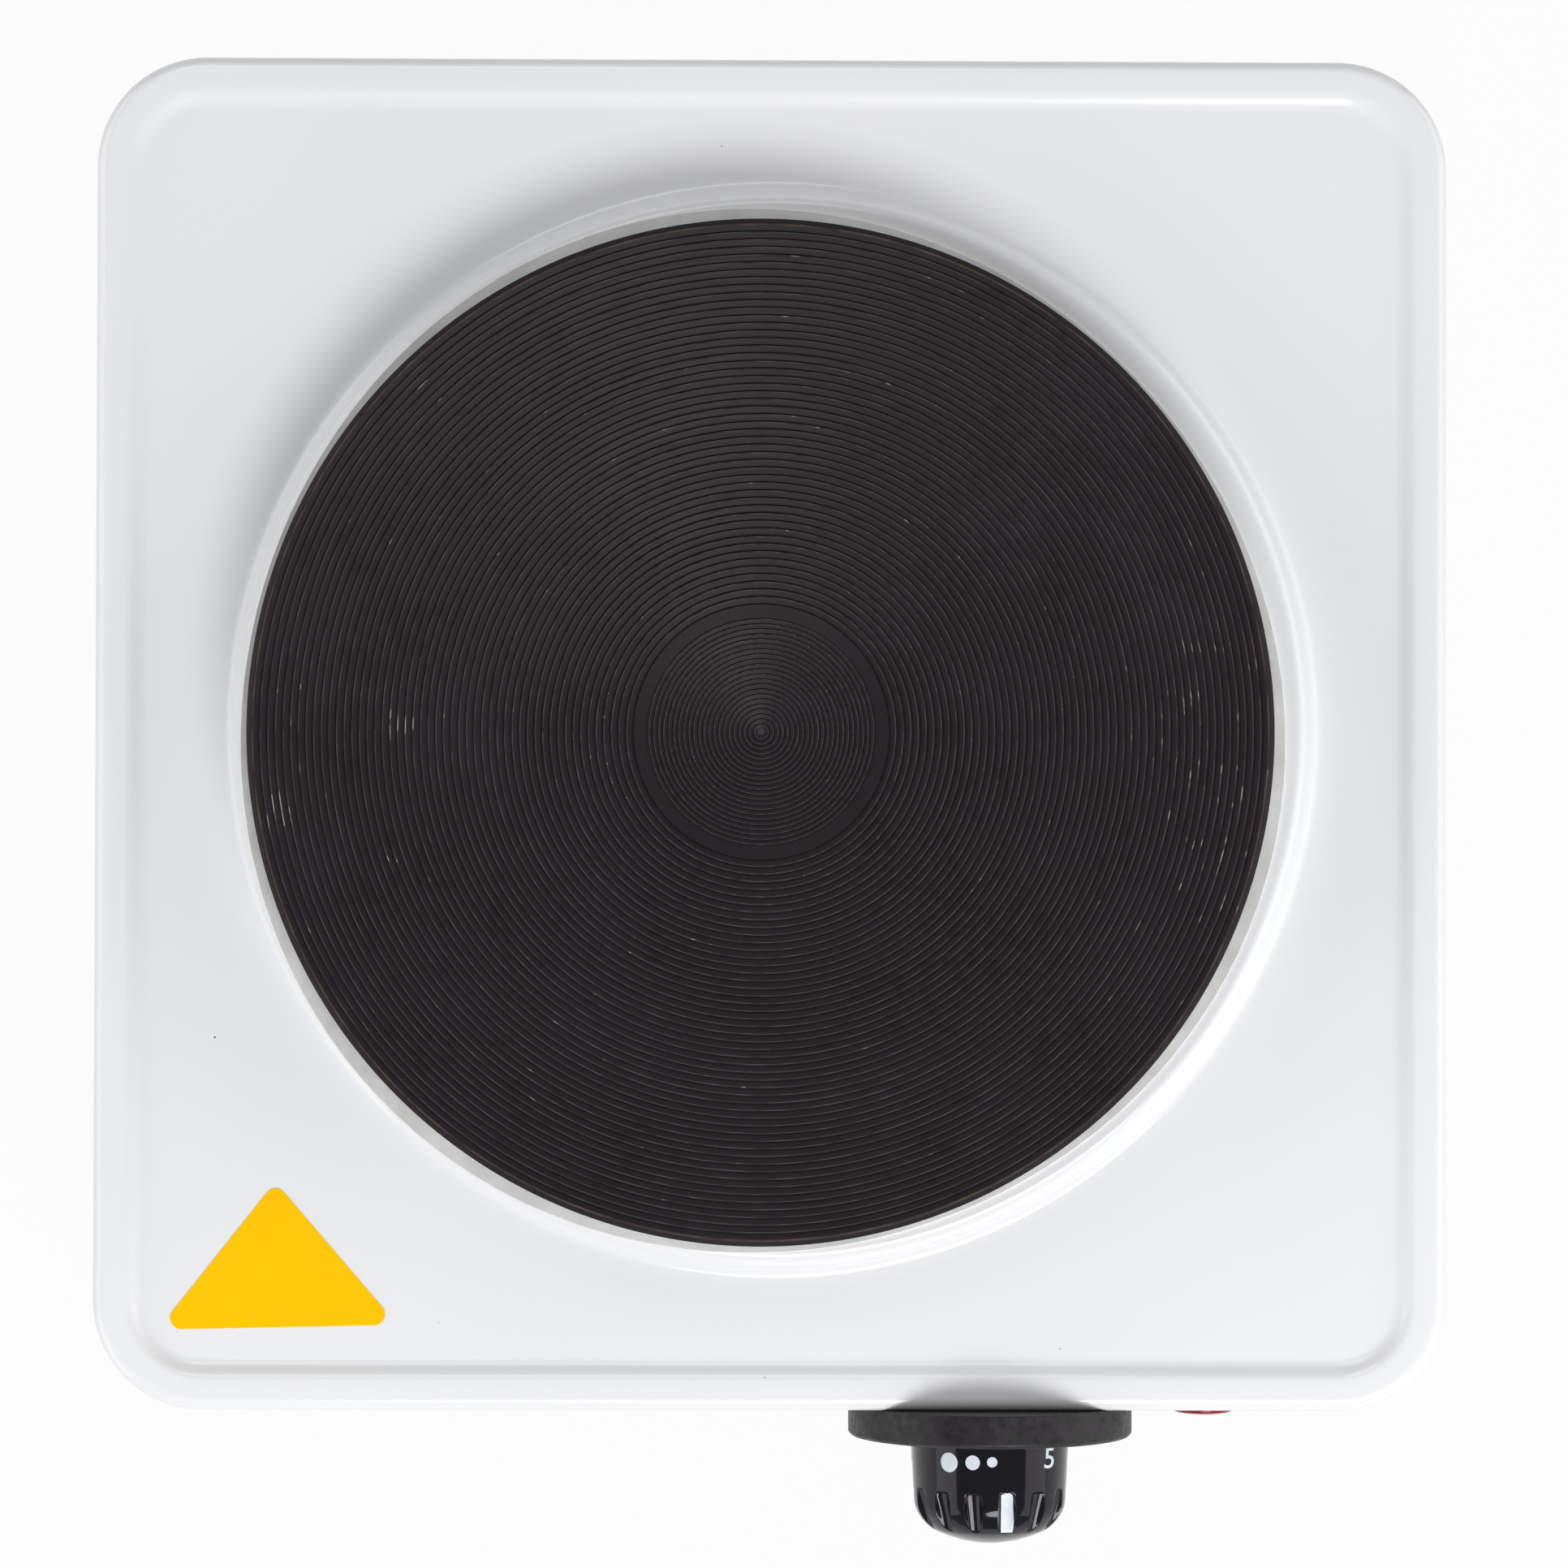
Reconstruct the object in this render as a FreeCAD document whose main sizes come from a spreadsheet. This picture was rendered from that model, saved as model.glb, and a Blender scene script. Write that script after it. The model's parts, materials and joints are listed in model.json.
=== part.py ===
import FreeCAD, Part
import math
import os
import re

import Sketcher

# A portable electric hot plate: one grooved cast iron plate on a square enamelled steel housing, with a
# thermostat behind a fluted knob, a pilot lamp, rubber feet and a cord gland in the rear wall.
#
# Everything is in millimetres. The housing's middle is the middle of the drawing, +X is to the right seen
# from the front, -Y is the front where the knob is, +Z is up and Z = 0 is the table. Each finished piece is
# then moved by centre_y, so that the origin ends up under the middle of the whole object's box.

SIZES = (
    # housing
    ("housing_side", 247, "width and depth of the square housing"),
    ("corner_radius", 20, "housing corner seen from above"),
    ("cover_sheet", 1.0, "sheet thickness of the housing"),
    ("skirt_lift", 6, "table to the housing's lower edge"),
    ("rim_top", 60, "table to the top of the raised rim"),
    ("rim_rounding", 4, "outer rounding of the rim"),
    ("rim_width", 5.9, "outline to the top of the step down to the panel"),
    ("step_width", 3.0, "width of the sloping step inside the rim"),
    ("panel_drop", 1.7, "rim to panel"),
    ("collar_rise", 5.7, "panel to the flat top of the round collar"),
    ("collar_land", 1.6, "pan's edge to the outer edge of the collar's flat top"),
    ("collar_slope", 3.1, "width of the collar's sloping side"),
    ("sheet_bend", 0.6, "share of the sheet that a slope's foot is moved in by on the inside"),
    ("rim_groove", 1.5, "how much further in the wall the hollow under the rim begins"),
    ("ear_inset", 57, "housing's side less X plus Y at which the corner ears begin"),
    ("ear_sheet", 1.2, "thickness of the corner ears"),
    # base and feet
    ("base_gap", 0.5, "housing wall to base plate"),
    ("base_sheet", 1.0, "sheet thickness of the base plate"),
    ("hem_height", 3, "height of the base plate with its turned down hem"),
    ("foot_inset", 23.5, "housing's outline to a foot's middle in X and in Y"),
    ("foot_radius", 9, "rubber foot at the table"),
    ("foot_flare", 2, "how much wider the foot is at its top"),
    ("foot_recess_radius", 5.5, "hole for the screw head"),
    ("foot_recess_depth", 4, "depth of that hole"),
    ("foot_screw_radius", 2, "shank of the foot screw"),
    ("foot_screw_length", 8, "shank length of the foot screw"),
    ("foot_head_radius", 4, "head of the foot screw"),
    ("foot_head_height", 2.4, "height of that head"),
    ("screw_play", 0.05, "radial play of a screw in its hole"),
    ("overcut", 1, "how far a cutter passes the face that it starts from"),
    ("slot_length", 70, "length of a vent slot"),
    ("slot_width", 4, "width of a vent slot"),
    ("slot_pitch", 11, "distance between vent slots"),
    ("slot_count", 7, "number of vent slots"),
    # cast iron plate
    ("plate_radius", 92.5, "cooking plate"),
    ("plate_height", 10.4, "seat to the crests of the cooking face"),
    ("plate_shift", 2.1, "plate stands this far left of the collar's middle"),
    ("plate_chamfer", 1.3, "width of the chamfer round the plate"),
    ("chamfer_height", 0.8, "height of that chamfer"),
    ("rim_land", 0.5, "flat ring inside the chamfer"),
    ("tooth_pitch", 1.36, "ridge to ridge in the outer field"),
    ("tooth_depth", 0.4, "depth of those grooves"),
    ("tooth_land", 0.2, "flat on each ridge"),
    ("tooth_wall", 0.14, "width of a ridge's steep side"),
    ("ring_radius", 22.9, "outside of the smooth ring round the middle"),
    ("ring_width", 2.6, "width of that ring"),
    ("middle_pitch", 0.905, "ridge to ridge in the middle"),
    ("middle_depth", 0.27, "depth of those grooves"),
    ("middle_land", 0.15, "flat on each of those ridges"),
    ("middle_wall", 0.1, "width of their steep sides"),
    ("middle_drop", 0.3, "how far the middle's ridges lie below the outer ones"),
    ("plate_wall", 10.5, "wall of the plate round the heating chamber"),
    ("chamber_depth", 5.4, "height of the heating chamber"),
    ("boss_radius", 22, "solid middle of the plate"),
    ("cement_play", 0.05, "play of the cement round what it holds"),
    # coil, cover and pan
    ("coil_radius", 2, "heating coil's tube envelope"),
    ("coil_gap", 6, "solid middle to the coil"),
    ("coil_pitch", 8, "turn to turn"),
    ("coil_half_turns", 11, "number of half turns"),
    ("cover_thickness", 0.6, "steel disc under the cement"),
    ("cover_play", 0.4, "cover disc to pan wall"),
    ("pan_sheet", 0.6, "sheet thickness of the pan"),
    ("pan_inset", 7.5, "plate's edge to the outside of the pan's wall"),
    ("pan_show", 2.1, "how far the pan's flange shows round the plate"),
    ("pan_depth", 16, "flange underside to floor underside"),
    ("pan_play", 0.9, "pan wall to the hole's edge at the nearest side"),
    # centre fixing
    ("stud_radius", 4, "centre stud"),
    ("stud_grip", 6.8, "stud length inside the plate"),
    ("stud_tail", 1.9, "stud length below its nut"),
    ("stud_play", 0.02, "play of the stud in its threads"),
    ("hole_play", 0.5, "play of the stud in plain holes"),
    ("strap_width", 24, "bridge bracket"),
    ("strap_sheet", 2, "thickness of the bridge bracket"),
    ("strap_inset", 13.5, "inside of the housing's wall to the outside of the bracket's legs"),
    ("strap_foot", 8, "length of the bracket's turned out feet"),
    ("washer_radius", 9, "washer under the stud nut"),
    ("washer_height", 1.6, "thickness of that washer"),
    ("nut_flat", 6.5, "half of the stud nut's width across flats"),
    ("nut_height", 6.5, "height of the stud nut"),
    # heater pins
    ("pin_radius", 1.5, "heater terminal pin"),
    ("pin_tail", 4.3, "pin length below its bushing"),
    ("bushing_radius", 4, "ceramic bushing"),
    ("bushing_collar", 6, "radius of the bushing's collar on the pan floor"),
    ("bushing_collar_height", 3, "height of that collar"),
    ("bushing_drop", 6, "bushing length below the pan floor"),
    ("tag_radius", 3.4, "ring of a crimped terminal"),
    ("tag_sheet", 0.8, "thickness of that ring"),
    ("tag_gap", 4.5, "pin axis to the start of the crimped barrel"),
    ("tag_barrel", 5, "length of the crimped barrel"),
    ("barrel_wall", 0.5, "wall of the crimped barrel"),
    ("pin_nut_flat", 2.75, "half of the pin nut's width across flats"),
    ("pin_nut_height", 2.2, "height of the pin nut"),
    # thermostat, measured from the knob's axis and the front wall
    ("knob_inset", 82.5, "housing's right side to the knob's axis"),
    ("knob_z", 42, "table to the knob's axis"),
    ("shaft_radius", 3, "control shaft"),
    ("shaft_play", 0.05, "running play of the shaft"),
    ("shaft_front", 20, "wall's outside to the front end of the shaft"),
    ("flat_depth", 0.8, "depth of the shaft's flat"),
    ("frame_sheet", 1.2, "sheet thickness of the thermostat frame"),
    ("frame_half", 20.2, "half of the frame's width"),
    ("frame_low", 12, "axis to the frame's lower edge"),
    ("frame_high", 14.6, "axis to the frame's upper edge"),
    ("arm_high", 6.6, "axis to the upper edge of the frame's arms"),
    ("frame_short", 3, "end of the arms to the back of the porcelain block"),
    ("sleeve_radius", 5, "bushing round the shaft"),
    ("sleeve_play", 0.2, "bushing to the wall's hole"),
    ("sleeve_front", 3, "bushing length outside the wall"),
    ("sleeve_flange", 7, "radius of the bushing's flange"),
    ("sleeve_flange_height", 1.5, "thickness of that flange"),
    ("clip_radius", 5.5, "retaining clip on the shaft"),
    ("clip_height", 0.8, "thickness of the clip"),
    ("end_play", 0.2, "axial play of what turns"),
    ("cam_radius", 6, "smallest radius of the cam"),
    ("cam_rise", 1.5, "growth of the cam's radius over the knob's turn"),
    ("cam_margin", 12, "degrees the cam's ramp runs on at either end"),
    ("cam_gap", 1.1, "clip to cam"),
    ("cam_width", 3.8, "cam along its axis"),
    ("knob_turn", 290, "degrees from off to the highest setting"),
    ("lever_arm", 14, "lever's pivot to its nose"),
    ("trim_offset", 0.75, "middle of the contact blade to the calibration screw"),
    ("lever_width", 3, "lever along the shaft"),
    ("lever_height", 2.5, "height of the lever's bar"),
    ("lever_eye", 3.2, "ring round the lever's pin"),
    ("nose_radius", 1.2, "rounded nose on the cam"),
    ("nose_play", 0.12, "nose to cam"),
    ("pivot_radius", 1.5, "lever pin"),
    ("trim_radius", 1.25, "calibration screw"),
    ("trim_height", 0.6, "calibration screw above the lever"),
    ("block_front", 12, "wall's outside to the porcelain block"),
    ("block_depth", 10, "porcelain block front to back"),
    ("block_play", 0.1, "porcelain block to the frame's arms"),
    ("block_lift", 2, "frame's lower edge to the porcelain block's lower edge"),
    ("side_thread", 5, "how deep the side screws go into the block"),
    ("side_screw_shift", 1, "side screws in front of the block's middle"),
    ("top_thread", 5, "how deep the blade screws go into the block"),
    ("pivot_seat", 2, "how deep the shaft and the pin go into the block"),
    ("blade_sheet", 0.4, "contact blade"),
    ("blade_width", 6.3, "contact blade and tabs"),
    ("blade_edge", 0.5, "contact blade to the block's end"),
    ("blade_front", 5, "wall's outside to the blades' front ends"),
    ("blade_tail", 9, "tab length behind the block"),
    ("blade_play", 0.3, "lever's highest place to the blade"),
    ("spacer_height", 2.4, "ceramic spacer between the blades"),
    ("fixed_sheet", 0.6, "fixed contact strip"),
    ("fixed_side", 9, "sideways offset of the fixed contact's tab"),
    ("link_width", 2, "bar from the fixed contact to its tab"),
    ("rivet_place", 2.5, "blade's front end to the rivet's middle"),
    ("rivet_radius", 1.8, "contact rivet"),
    ("rivet_height", 0.8, "height of a contact rivet"),
    ("bimetal_width", 9, "bimetal strip"),
    ("bimetal_sheet", 1.0, "thickness of the bimetal strip"),
    ("small_screw", 1.5, "shank radius of the small screws"),
    ("small_head", 2.7, "head radius of the small screws"),
    ("small_head_height", 1.6, "head height of the small screws"),
    ("screw_end", 0.5, "how far a screw passes the sheet that it holds"),
    ("head_sink", 0.2, "bezel's face to a bezel screw's head"),
    ("receptacle_length", 8, "push-on receptacle"),
    ("receptacle_wall", 0.5, "wall of a receptacle"),
    ("receptacle_play", 0.1, "play of a tab in its receptacle"),
    ("tab_short", 0.5, "tab's end to the back wall of its receptacle"),
    # knob and bezel
    ("bezel_radius", 26.3, "disc behind the knob"),
    ("bezel_thickness", 6, "thickness of that disc"),
    ("bezel_edge", 0.6, "chamfer of the disc's front edge"),
    ("bezel_screw_place", 11, "axis to a bezel screw"),
    ("knob_gap", 0.3, "disc to knob"),
    ("knob_length", 19.7, "back to the top of the knob's dome"),
    ("knob_base", 14.65, "knob radius at its back"),
    ("skirt_draft", 0.55, "how much narrower the knob is at its shoulder"),
    ("shoulder_draft", 0.2, "how much narrower again where its front edge starts to turn in"),
    ("shoulder_run", 1.7, "length of the shoulder"),
    ("edge_draft", 2.0, "how much narrower again where the dome begins"),
    ("edge_run", 3.0, "length of the turned in edge"),
    ("dome_rise", 3.3, "height of the dome"),
    ("knob_hub", 6, "hub round the bore"),
    ("knob_wall", 2.6, "wall of the knob's skirt"),
    ("knob_hollow", 8, "depth of the hollow round the hub"),
    ("flute_count", 14, "flutes round the knob"),
    ("flute_radius", 1.9, "round cutter of a flute"),
    ("flute_lean", 25, "degrees the flutes lean towards the axis"),
    ("flute_depth", 1.28, "depth of a flute at the shoulder"),
    ("flute_length", 16, "length of the flute's cutter"),
    ("pointer_angle", 10.3, "degrees from straight up to the pointer flute"),
    ("spring_sheet", 0.4, "knob's leaf spring"),
    ("spring_width", 2.4, "width of that spring"),
    ("spring_short", 2.9, "how much shorter that spring is than the knob's bore"),
    ("spring_end", 1, "front end of the shaft to the front end of the spring"),
    ("spring_play", 0.05, "play of the spring over the shaft's flat and under the bore's"),
    # pilot lamp
    ("lamp_across", 39.5, "knob's axis to the pilot lamp, to the right"),
    ("lens_radius", 6, "pilot lens"),
    ("lens_reach", 2.2, "pilot lens in front of the wall"),
    ("lens_flange", 0.8, "straight edge of the lens"),
    ("lens_barrel", 4.9, "radius of the lens barrel"),
    ("lens_depth", 10, "length of the lens barrel"),
    ("lens_wall", 1.2, "wall of the lens"),
    ("lens_play", 0.2, "lens barrel to its hole"),
    ("bulb_radius", 3, "neon bulb"),
    ("bulb_length", 12, "neon bulb"),
    ("bulb_tip", 2, "length of the bulb's rounded tip"),
    ("holder_depth", 9, "lamp holder"),
    ("holder_radius", 5.4, "lamp holder"),
    ("lock_ring", 7.6, "push-on ring behind the wall"),
    ("lock_sheet", 0.6, "thickness of that ring"),
    ("lead_radius", 0.8, "lamp lead"),
    ("lead_place", 2.2, "lamp axis to each lead"),
    # terminals and cord entry
    ("entry_inset", 63.5, "housing's left side to the cord entry"),
    ("gland_lift", 1, "base plate to the gland's flange"),
    ("gland_bore", 3.6, "hole for a 7 mm cord"),
    ("gland_neck", 6.4, "gland in the wall's hole"),
    ("gland_flange", 4, "gland outside the wall"),
    ("gland_radius", 8, "gland's flanges"),
    ("gland_inside", 3, "thickness of the gland's inner flange"),
    ("gland_bevel", 1, "bevel of the inner flange"),
    ("gland_taper", 1.5, "how much narrower the gland is at its outer end"),
    ("gland_play", 0.1, "gland neck to its hole"),
    ("clamp_room", 5.5, "gland to the cord clamp"),
    ("clamp_width", 26, "cord clamp"),
    ("clamp_depth", 7, "cord clamp front to back"),
    ("clamp_height", 10, "cord clamp"),
    ("clamp_hole", 3.4, "radius of the clamp's arch"),
    ("clamp_screw_place", 9.5, "clamp middle to a screw"),
    ("block_room", 3, "cord clamp to the terminal block"),
    ("way_pitch", 11, "terminal to terminal"),
    ("ways_length", 16, "terminal block front to back"),
    ("ways_height", 14, "terminal block"),
    ("ways_edge", 7, "outer terminal to the block's end"),
    ("tube_radius", 2.6, "brass terminal sleeve"),
    ("tube_bore", 1.8, "bore of that sleeve"),
    ("tube_short", 1, "sleeve end behind the block's face"),
    ("tube_z", 7, "sleeve above the base plate"),
    ("terminal_screw", 1.3, "terminal screw"),
    ("terminal_head", 2, "head of a terminal screw"),
    ("terminal_head_height", 1.8, "height of that head"),
    ("terminal_grip", 0.5, "how far a terminal screw reaches into the sleeve's bore"),
    ("terminal_rise", 0.4, "sleeve to the underside of the terminal screw's head"),
    ("terminal_play", 0.2, "terminal screw's head to its hole"),
    ("terminal_place", 4, "sleeve's middle to a terminal screw"),
    ("wire_radius", 1.3, "insulated wire"),
    ("wire_play", 0.05, "wire in a crimped barrel"),
    ("wire_seat", 2.5, "wire length inside a barrel or sleeve"),
    ("earth_across", 45, "cord entry to the earth screw, to the right"),
    ("earth_ahead", 40, "terminal block's middle to the earth screw, towards the front"),
    # sticker
    ("sticker_base", 43.6, "triangle's base before its corners are rounded"),
    ("sticker_height", 26.4, "triangle's height before its corners are rounded"),
    ("sticker_corner", 2.0, "rounding of the sticker's corners"),
    ("sticker_sheet", 0.15, "thickness of the sticker"),
    ("sticker_side", 33.75, "housing's left side to the sticker's middle"),
    ("sticker_front", 15.1, "housing's front to the sticker's base"),
    ("sticker_turn", 1.2, "degrees the sticker is stuck askew"),
)

DERIVED = (
    ("half_side", "housing_side / 2"),
    ("inner_half", "half_side - cover_sheet"),
    ("panel_top", "rim_top - panel_drop"),
    ("panel_under", "panel_top - cover_sheet"),
    ("collar_top", "panel_top + collar_rise"),
    ("flange_radius", "plate_radius + pan_show"),
    ("collar_radius", "flange_radius + collar_land"),
    ("collar_foot", "collar_radius + collar_slope"),
    ("ear_reach", "housing_side - ear_inset"),
    ("foot_place", "half_side - foot_inset"),
    ("base_top", "skirt_lift + hem_height"),
    ("base_under", "base_top - base_sheet"),
    ("foot_hole", "foot_screw_radius + screw_play"),
    ("pan_radius", "plate_radius - pan_inset"),
    ("hole_radius", "pan_radius + plate_shift + pan_play"),
    ("plate_seat", "collar_top + pan_sheet"),
    ("chamber_radius", "plate_radius - plate_wall"),
    ("middle_radius", "ring_radius - ring_width"),
    ("coil_z", "chamber_depth / 2"),
    ("coil_start", "boss_radius + coil_gap + coil_radius"),
    ("coil_end", "coil_start + coil_pitch * (coil_half_turns - 1) / 2"),
    ("pan_floor", "collar_top - pan_depth"),
    ("strap_under", "pan_floor - strap_sheet"),
    ("strap_reach", "inner_half - strap_inset"),
    ("stud_hole", "stud_radius + hole_play"),
    ("stud_bottom", "strap_under - washer_height - nut_height - stud_tail"),
    ("pin_hole", "pin_radius + screw_play"),
    ("bushing_bottom", "pan_floor - bushing_drop"),
    ("inner_pin_x", "coil_start - plate_shift"),
    ("outer_pin_x", "-coil_end - plate_shift"),
    ("barrel_radius", "wire_radius + wire_play + barrel_wall"),
    ("lead_barrel", "lead_radius + wire_play + barrel_wall"),
    ("frame_back", "cover_sheet + frame_sheet"),
    ("sleeve_back", "frame_back + sleeve_flange_height"),
    ("clip_front", "sleeve_back + end_play"),
    ("cam_front", "clip_front + clip_height + cam_gap"),
    ("lever_front", "cam_front + (cam_width - lever_width) / 2"),
    ("nose_z", "cam_radius + nose_play + nose_radius"),
    ("lever_z", "nose_z + nose_radius + lever_height / 2"),
    ("block_half", "frame_half - frame_sheet - block_play"),
    ("blade_x", "block_half - blade_width / 2 - blade_edge"),
    ("lever_end", "blade_x + trim_offset"),
    ("trim_top", "lever_z + lever_height / 2 + trim_height"),
    ("blade_z", "trim_top + cam_rise * (lever_arm + lever_end) / lever_arm + blade_play"),
    ("fixed_z", "blade_z + blade_sheet + spacer_height"),
    ("block_back", "block_front + block_depth"),
    ("tab_end", "block_back + blade_tail"),
    ("tab_cover", "receptacle_length - receptacle_wall - tab_short"),
    ("bimetal_x", "-bimetal_width / 2"),
    ("screw_y", "block_front + block_depth / 2"),
    ("side_screw_y", "screw_y - side_screw_shift"),
    ("side_screw_z", "-frame_low / 2"),
    ("small_hole", "small_screw + screw_play"),
    ("knob_back", "bezel_thickness + knob_gap"),
    ("knob_front", "knob_back + knob_length"),
    ("knob_shoulder", "knob_base - skirt_draft"),
    ("knob_edge", "knob_shoulder - shoulder_draft"),
    ("knob_crown", "knob_edge - edge_draft"),
    ("crown_place", "knob_length - dome_rise"),
    ("edge_place", "crown_place - edge_run"),
    ("shoulder_place", "edge_place - shoulder_run"),
    ("flat_height", "shaft_radius - flat_depth"),
    ("flat_length", "shaft_front - bezel_thickness"),
    ("knob_bore_depth", "shaft_front - knob_back + end_play"),
    ("spring_under", "flat_height + spring_play"),
    ("spring_length", "knob_bore_depth - spring_short"),
    ("head_seat", "bezel_thickness - small_head_height - head_sink"),
    ("knob_x", "half_side - knob_inset"),
    ("lamp_x", "knob_x + lamp_across"),
    ("tube_height", "base_top + tube_z"),
    ("ways_half", "way_pitch + ways_edge"),
    ("gland_back", "cover_sheet + gland_inside"),
    ("entry_x", "half_side - entry_inset"),
    ("entry_z", "base_top + gland_lift + gland_radius"),
    ("clamp_y", "half_side - gland_back - clamp_room - clamp_depth / 2"),
    ("block_y", "clamp_y - clamp_depth / 2 - block_room - ways_length / 2"),
    ("earth_x", "entry_x - earth_across"),
    ("earth_y", "block_y - earth_ahead"),
    ("sticker_x", "half_side - sticker_side"),
    ("sticker_y", "half_side - sticker_front"),
    ("centre_y", "(knob_front - gland_flange) / 2"),
)

doc = FreeCAD.newDocument("hot_plate")
sheet = doc.addObject("Spreadsheet::Sheet", "sizes")
derived = doc.addObject("App::VarSet", "derived")
finished = []
size_names = {name for name, _, _ in SIZES}
derived_names = {name for name, _ in DERIVED}


def formula(text):
    """Write each size's name in a formula together with the object that holds it."""
    def with_owner(match):
        word = match.group()
        if word in size_names:
            return "sizes." + word
        if word in derived_names:
            return "derived." + word
        return word
    return re.sub(r"[a-z_]+", with_owner, text)


def fill_sheet():
    """Put the driving sizes in the sheet, and what follows from them in the set of derived values."""
    for row, (name, value, meaning) in enumerate(SIZES, start=1):
        sheet.set("A%d" % row, name)
        sheet.set("B%d" % row, str(value))
        sheet.set("C%d" % row, meaning)
        sheet.setAlias("B%d" % row, name)
    doc.recompute()
    for name, _ in DERIVED:
        derived.addProperty("App::PropertyFloat", name)
    for name, text in DERIVED:
        derived.setExpression(name, formula(text))
    doc.recompute()


def amount(text):
    """The number that a formula gives now, for start positions and for shapes made in code."""
    value = sheet.evalExpression(formula(text))
    return float(getattr(value, "Value", value))


def bind(thing, **formulas):
    """Tie properties to formulas; a double underscore in a name stands for the dot of a nested one."""
    for name, text in formulas.items():
        thing.setExpression(name.replace("__", "."), formula(text))


def place(thing, x="0", y="0", z="0", turn=None):
    """Set a thing's turn once and tie its position to formulas."""
    if turn:
        axis, degrees = turn
        rotation = FreeCAD.Rotation(FreeCAD.Vector(*axis), degrees)
        thing.Placement = FreeCAD.Placement(FreeCAD.Vector(), rotation)
    bind(thing, Placement__Base__x=x, Placement__Base__y=y, Placement__Base__z=z)
    return thing


def finish(name, thing, x="0", y="0", z="0", turn=None):
    """Name a finished piece and put it in its place in the object."""
    thing.Label = name
    place(thing, x, y + " + centre_y", z, turn)
    finished.append(thing)
    return thing


# Turns that point a piece drawn along +Z another way.
TO_REAR = ((1, 0, 0), -90)
TO_FRONT = ((1, 0, 0), 90)
TO_RIGHT = ((0, 1, 0), 90)
TO_LEFT = ((0, 1, 0), -90)
UPSIDE_DOWN = ((1, 0, 0), 180)
HUNG = ((0, 1, 0), 180)


# ---- sketches and PartDesign features ----

def new_body(name):
    body = doc.addObject("PartDesign::Body", name + "_body")
    body.AllowCompound = False
    return body


def new_sketch(body, plane, lift="0"):
    """A sketch on one of the body's own origin planes, lifted along that plane's normal."""
    sketch = body.newObject("Sketcher::SketchObject", body.Name + "_sketch")
    planes = [feature for feature in body.Origin.OriginFeatures if feature.Role == plane]
    sketch.AttachmentSupport = [(planes[0], "")]
    sketch.MapMode = "FlatFace"
    bind(sketch, AttachmentOffset__Base__z=lift)
    return sketch


def hold_value(sketch, constraint, text):
    number = sketch.addConstraint(constraint)
    sketch.setExpression("Constraints[%d]" % number, formula(text))


def hold_point(sketch, geometry, point, x, y):
    """Hold a point at two formulas, measured from the sketch's origin."""
    for kind, text in (("DistanceX", x), ("DistanceY", y)):
        hold_value(sketch, Sketcher.Constraint(kind, -1, 1, geometry, point, amount(text)), text)


def draw_polygon(sketch, corners):
    """A closed outline of straight lines whose corners are pairs of formulas."""
    first = sketch.GeometryCount
    count = len(corners)
    spots = [FreeCAD.Vector(amount(x), amount(y), 0) for x, y in corners]
    for number, spot in enumerate(spots):
        sketch.addGeometry(Part.LineSegment(spot, spots[(number + 1) % count]), False)
    for number in range(count):
        following = first + (number + 1) % count
        sketch.addConstraint(Sketcher.Constraint("Coincident", first + number, 2, following, 1))
    for number, (x, y) in enumerate(corners):
        hold_point(sketch, first + number, 1, x, y)


def draw_circle(sketch, x, y, radius):
    middle = FreeCAD.Vector(amount(x), amount(y), 0)
    number = sketch.addGeometry(Part.Circle(middle, FreeCAD.Vector(0, 0, 1), amount(radius)), False)
    hold_point(sketch, number, 3, x, y)
    hold_value(sketch, Sketcher.Constraint("Radius", number, amount(radius)), radius)


def draw_round_box(sketch, half_x, half_y, radius, x="0", y="0"):
    """A rectangle with round corners about (x, y): four sides, then four arcs between them."""
    first = sketch.GeometryCount
    far_x, far_y, near_x, near_y = ("(%s)" % text for text in (
        half_x, half_y, "%s - (%s)" % (half_x, radius), "%s - (%s)" % (half_y, radius)))
    # start and end of each side, anticlockwise from the right
    sides = (
        ((far_x, "-" + near_y), (far_x, near_y)),
        ((near_x, far_y), ("-" + near_x, far_y)),
        (("-" + far_x, near_y), ("-" + far_x, "-" + near_y)),
        (("-" + near_x, "-" + far_y), (near_x, "-" + far_y)),
    )
    at = [[("%s + %s" % (x, u), "%s + %s" % (y, v)) for u, v in side] for side in sides]
    for start, end in at:
        spots = [FreeCAD.Vector(amount(u), amount(v), 0) for u, v in (start, end)]
        sketch.addGeometry(Part.LineSegment(*spots), False)
    for number in range(4):
        middle = FreeCAD.Vector(
            amount(x) + amount(near_x) * (1, -1, -1, 1)[number],
            amount(y) + amount(near_y) * (1, 1, -1, -1)[number], 0)
        circle = Part.Circle(middle, FreeCAD.Vector(0, 0, 1), amount(radius))
        quarter = math.pi / 2
        sketch.addGeometry(Part.ArcOfCircle(circle, number * quarter, (number + 1) * quarter), False)
    for number, (start, end) in enumerate(at):
        hold_point(sketch, first + number, 1, *start)
        hold_point(sketch, first + number, 2, *end)
    for number in range(4):
        arc = first + 4 + number
        sketch.addConstraint(Sketcher.Constraint("Coincident", arc, 1, first + number, 2))
        sketch.addConstraint(Sketcher.Constraint("Coincident", arc, 2, first + (number + 1) % 4, 1))
        hold_value(sketch, Sketcher.Constraint("Radius", arc, amount(radius)), radius)


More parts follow.
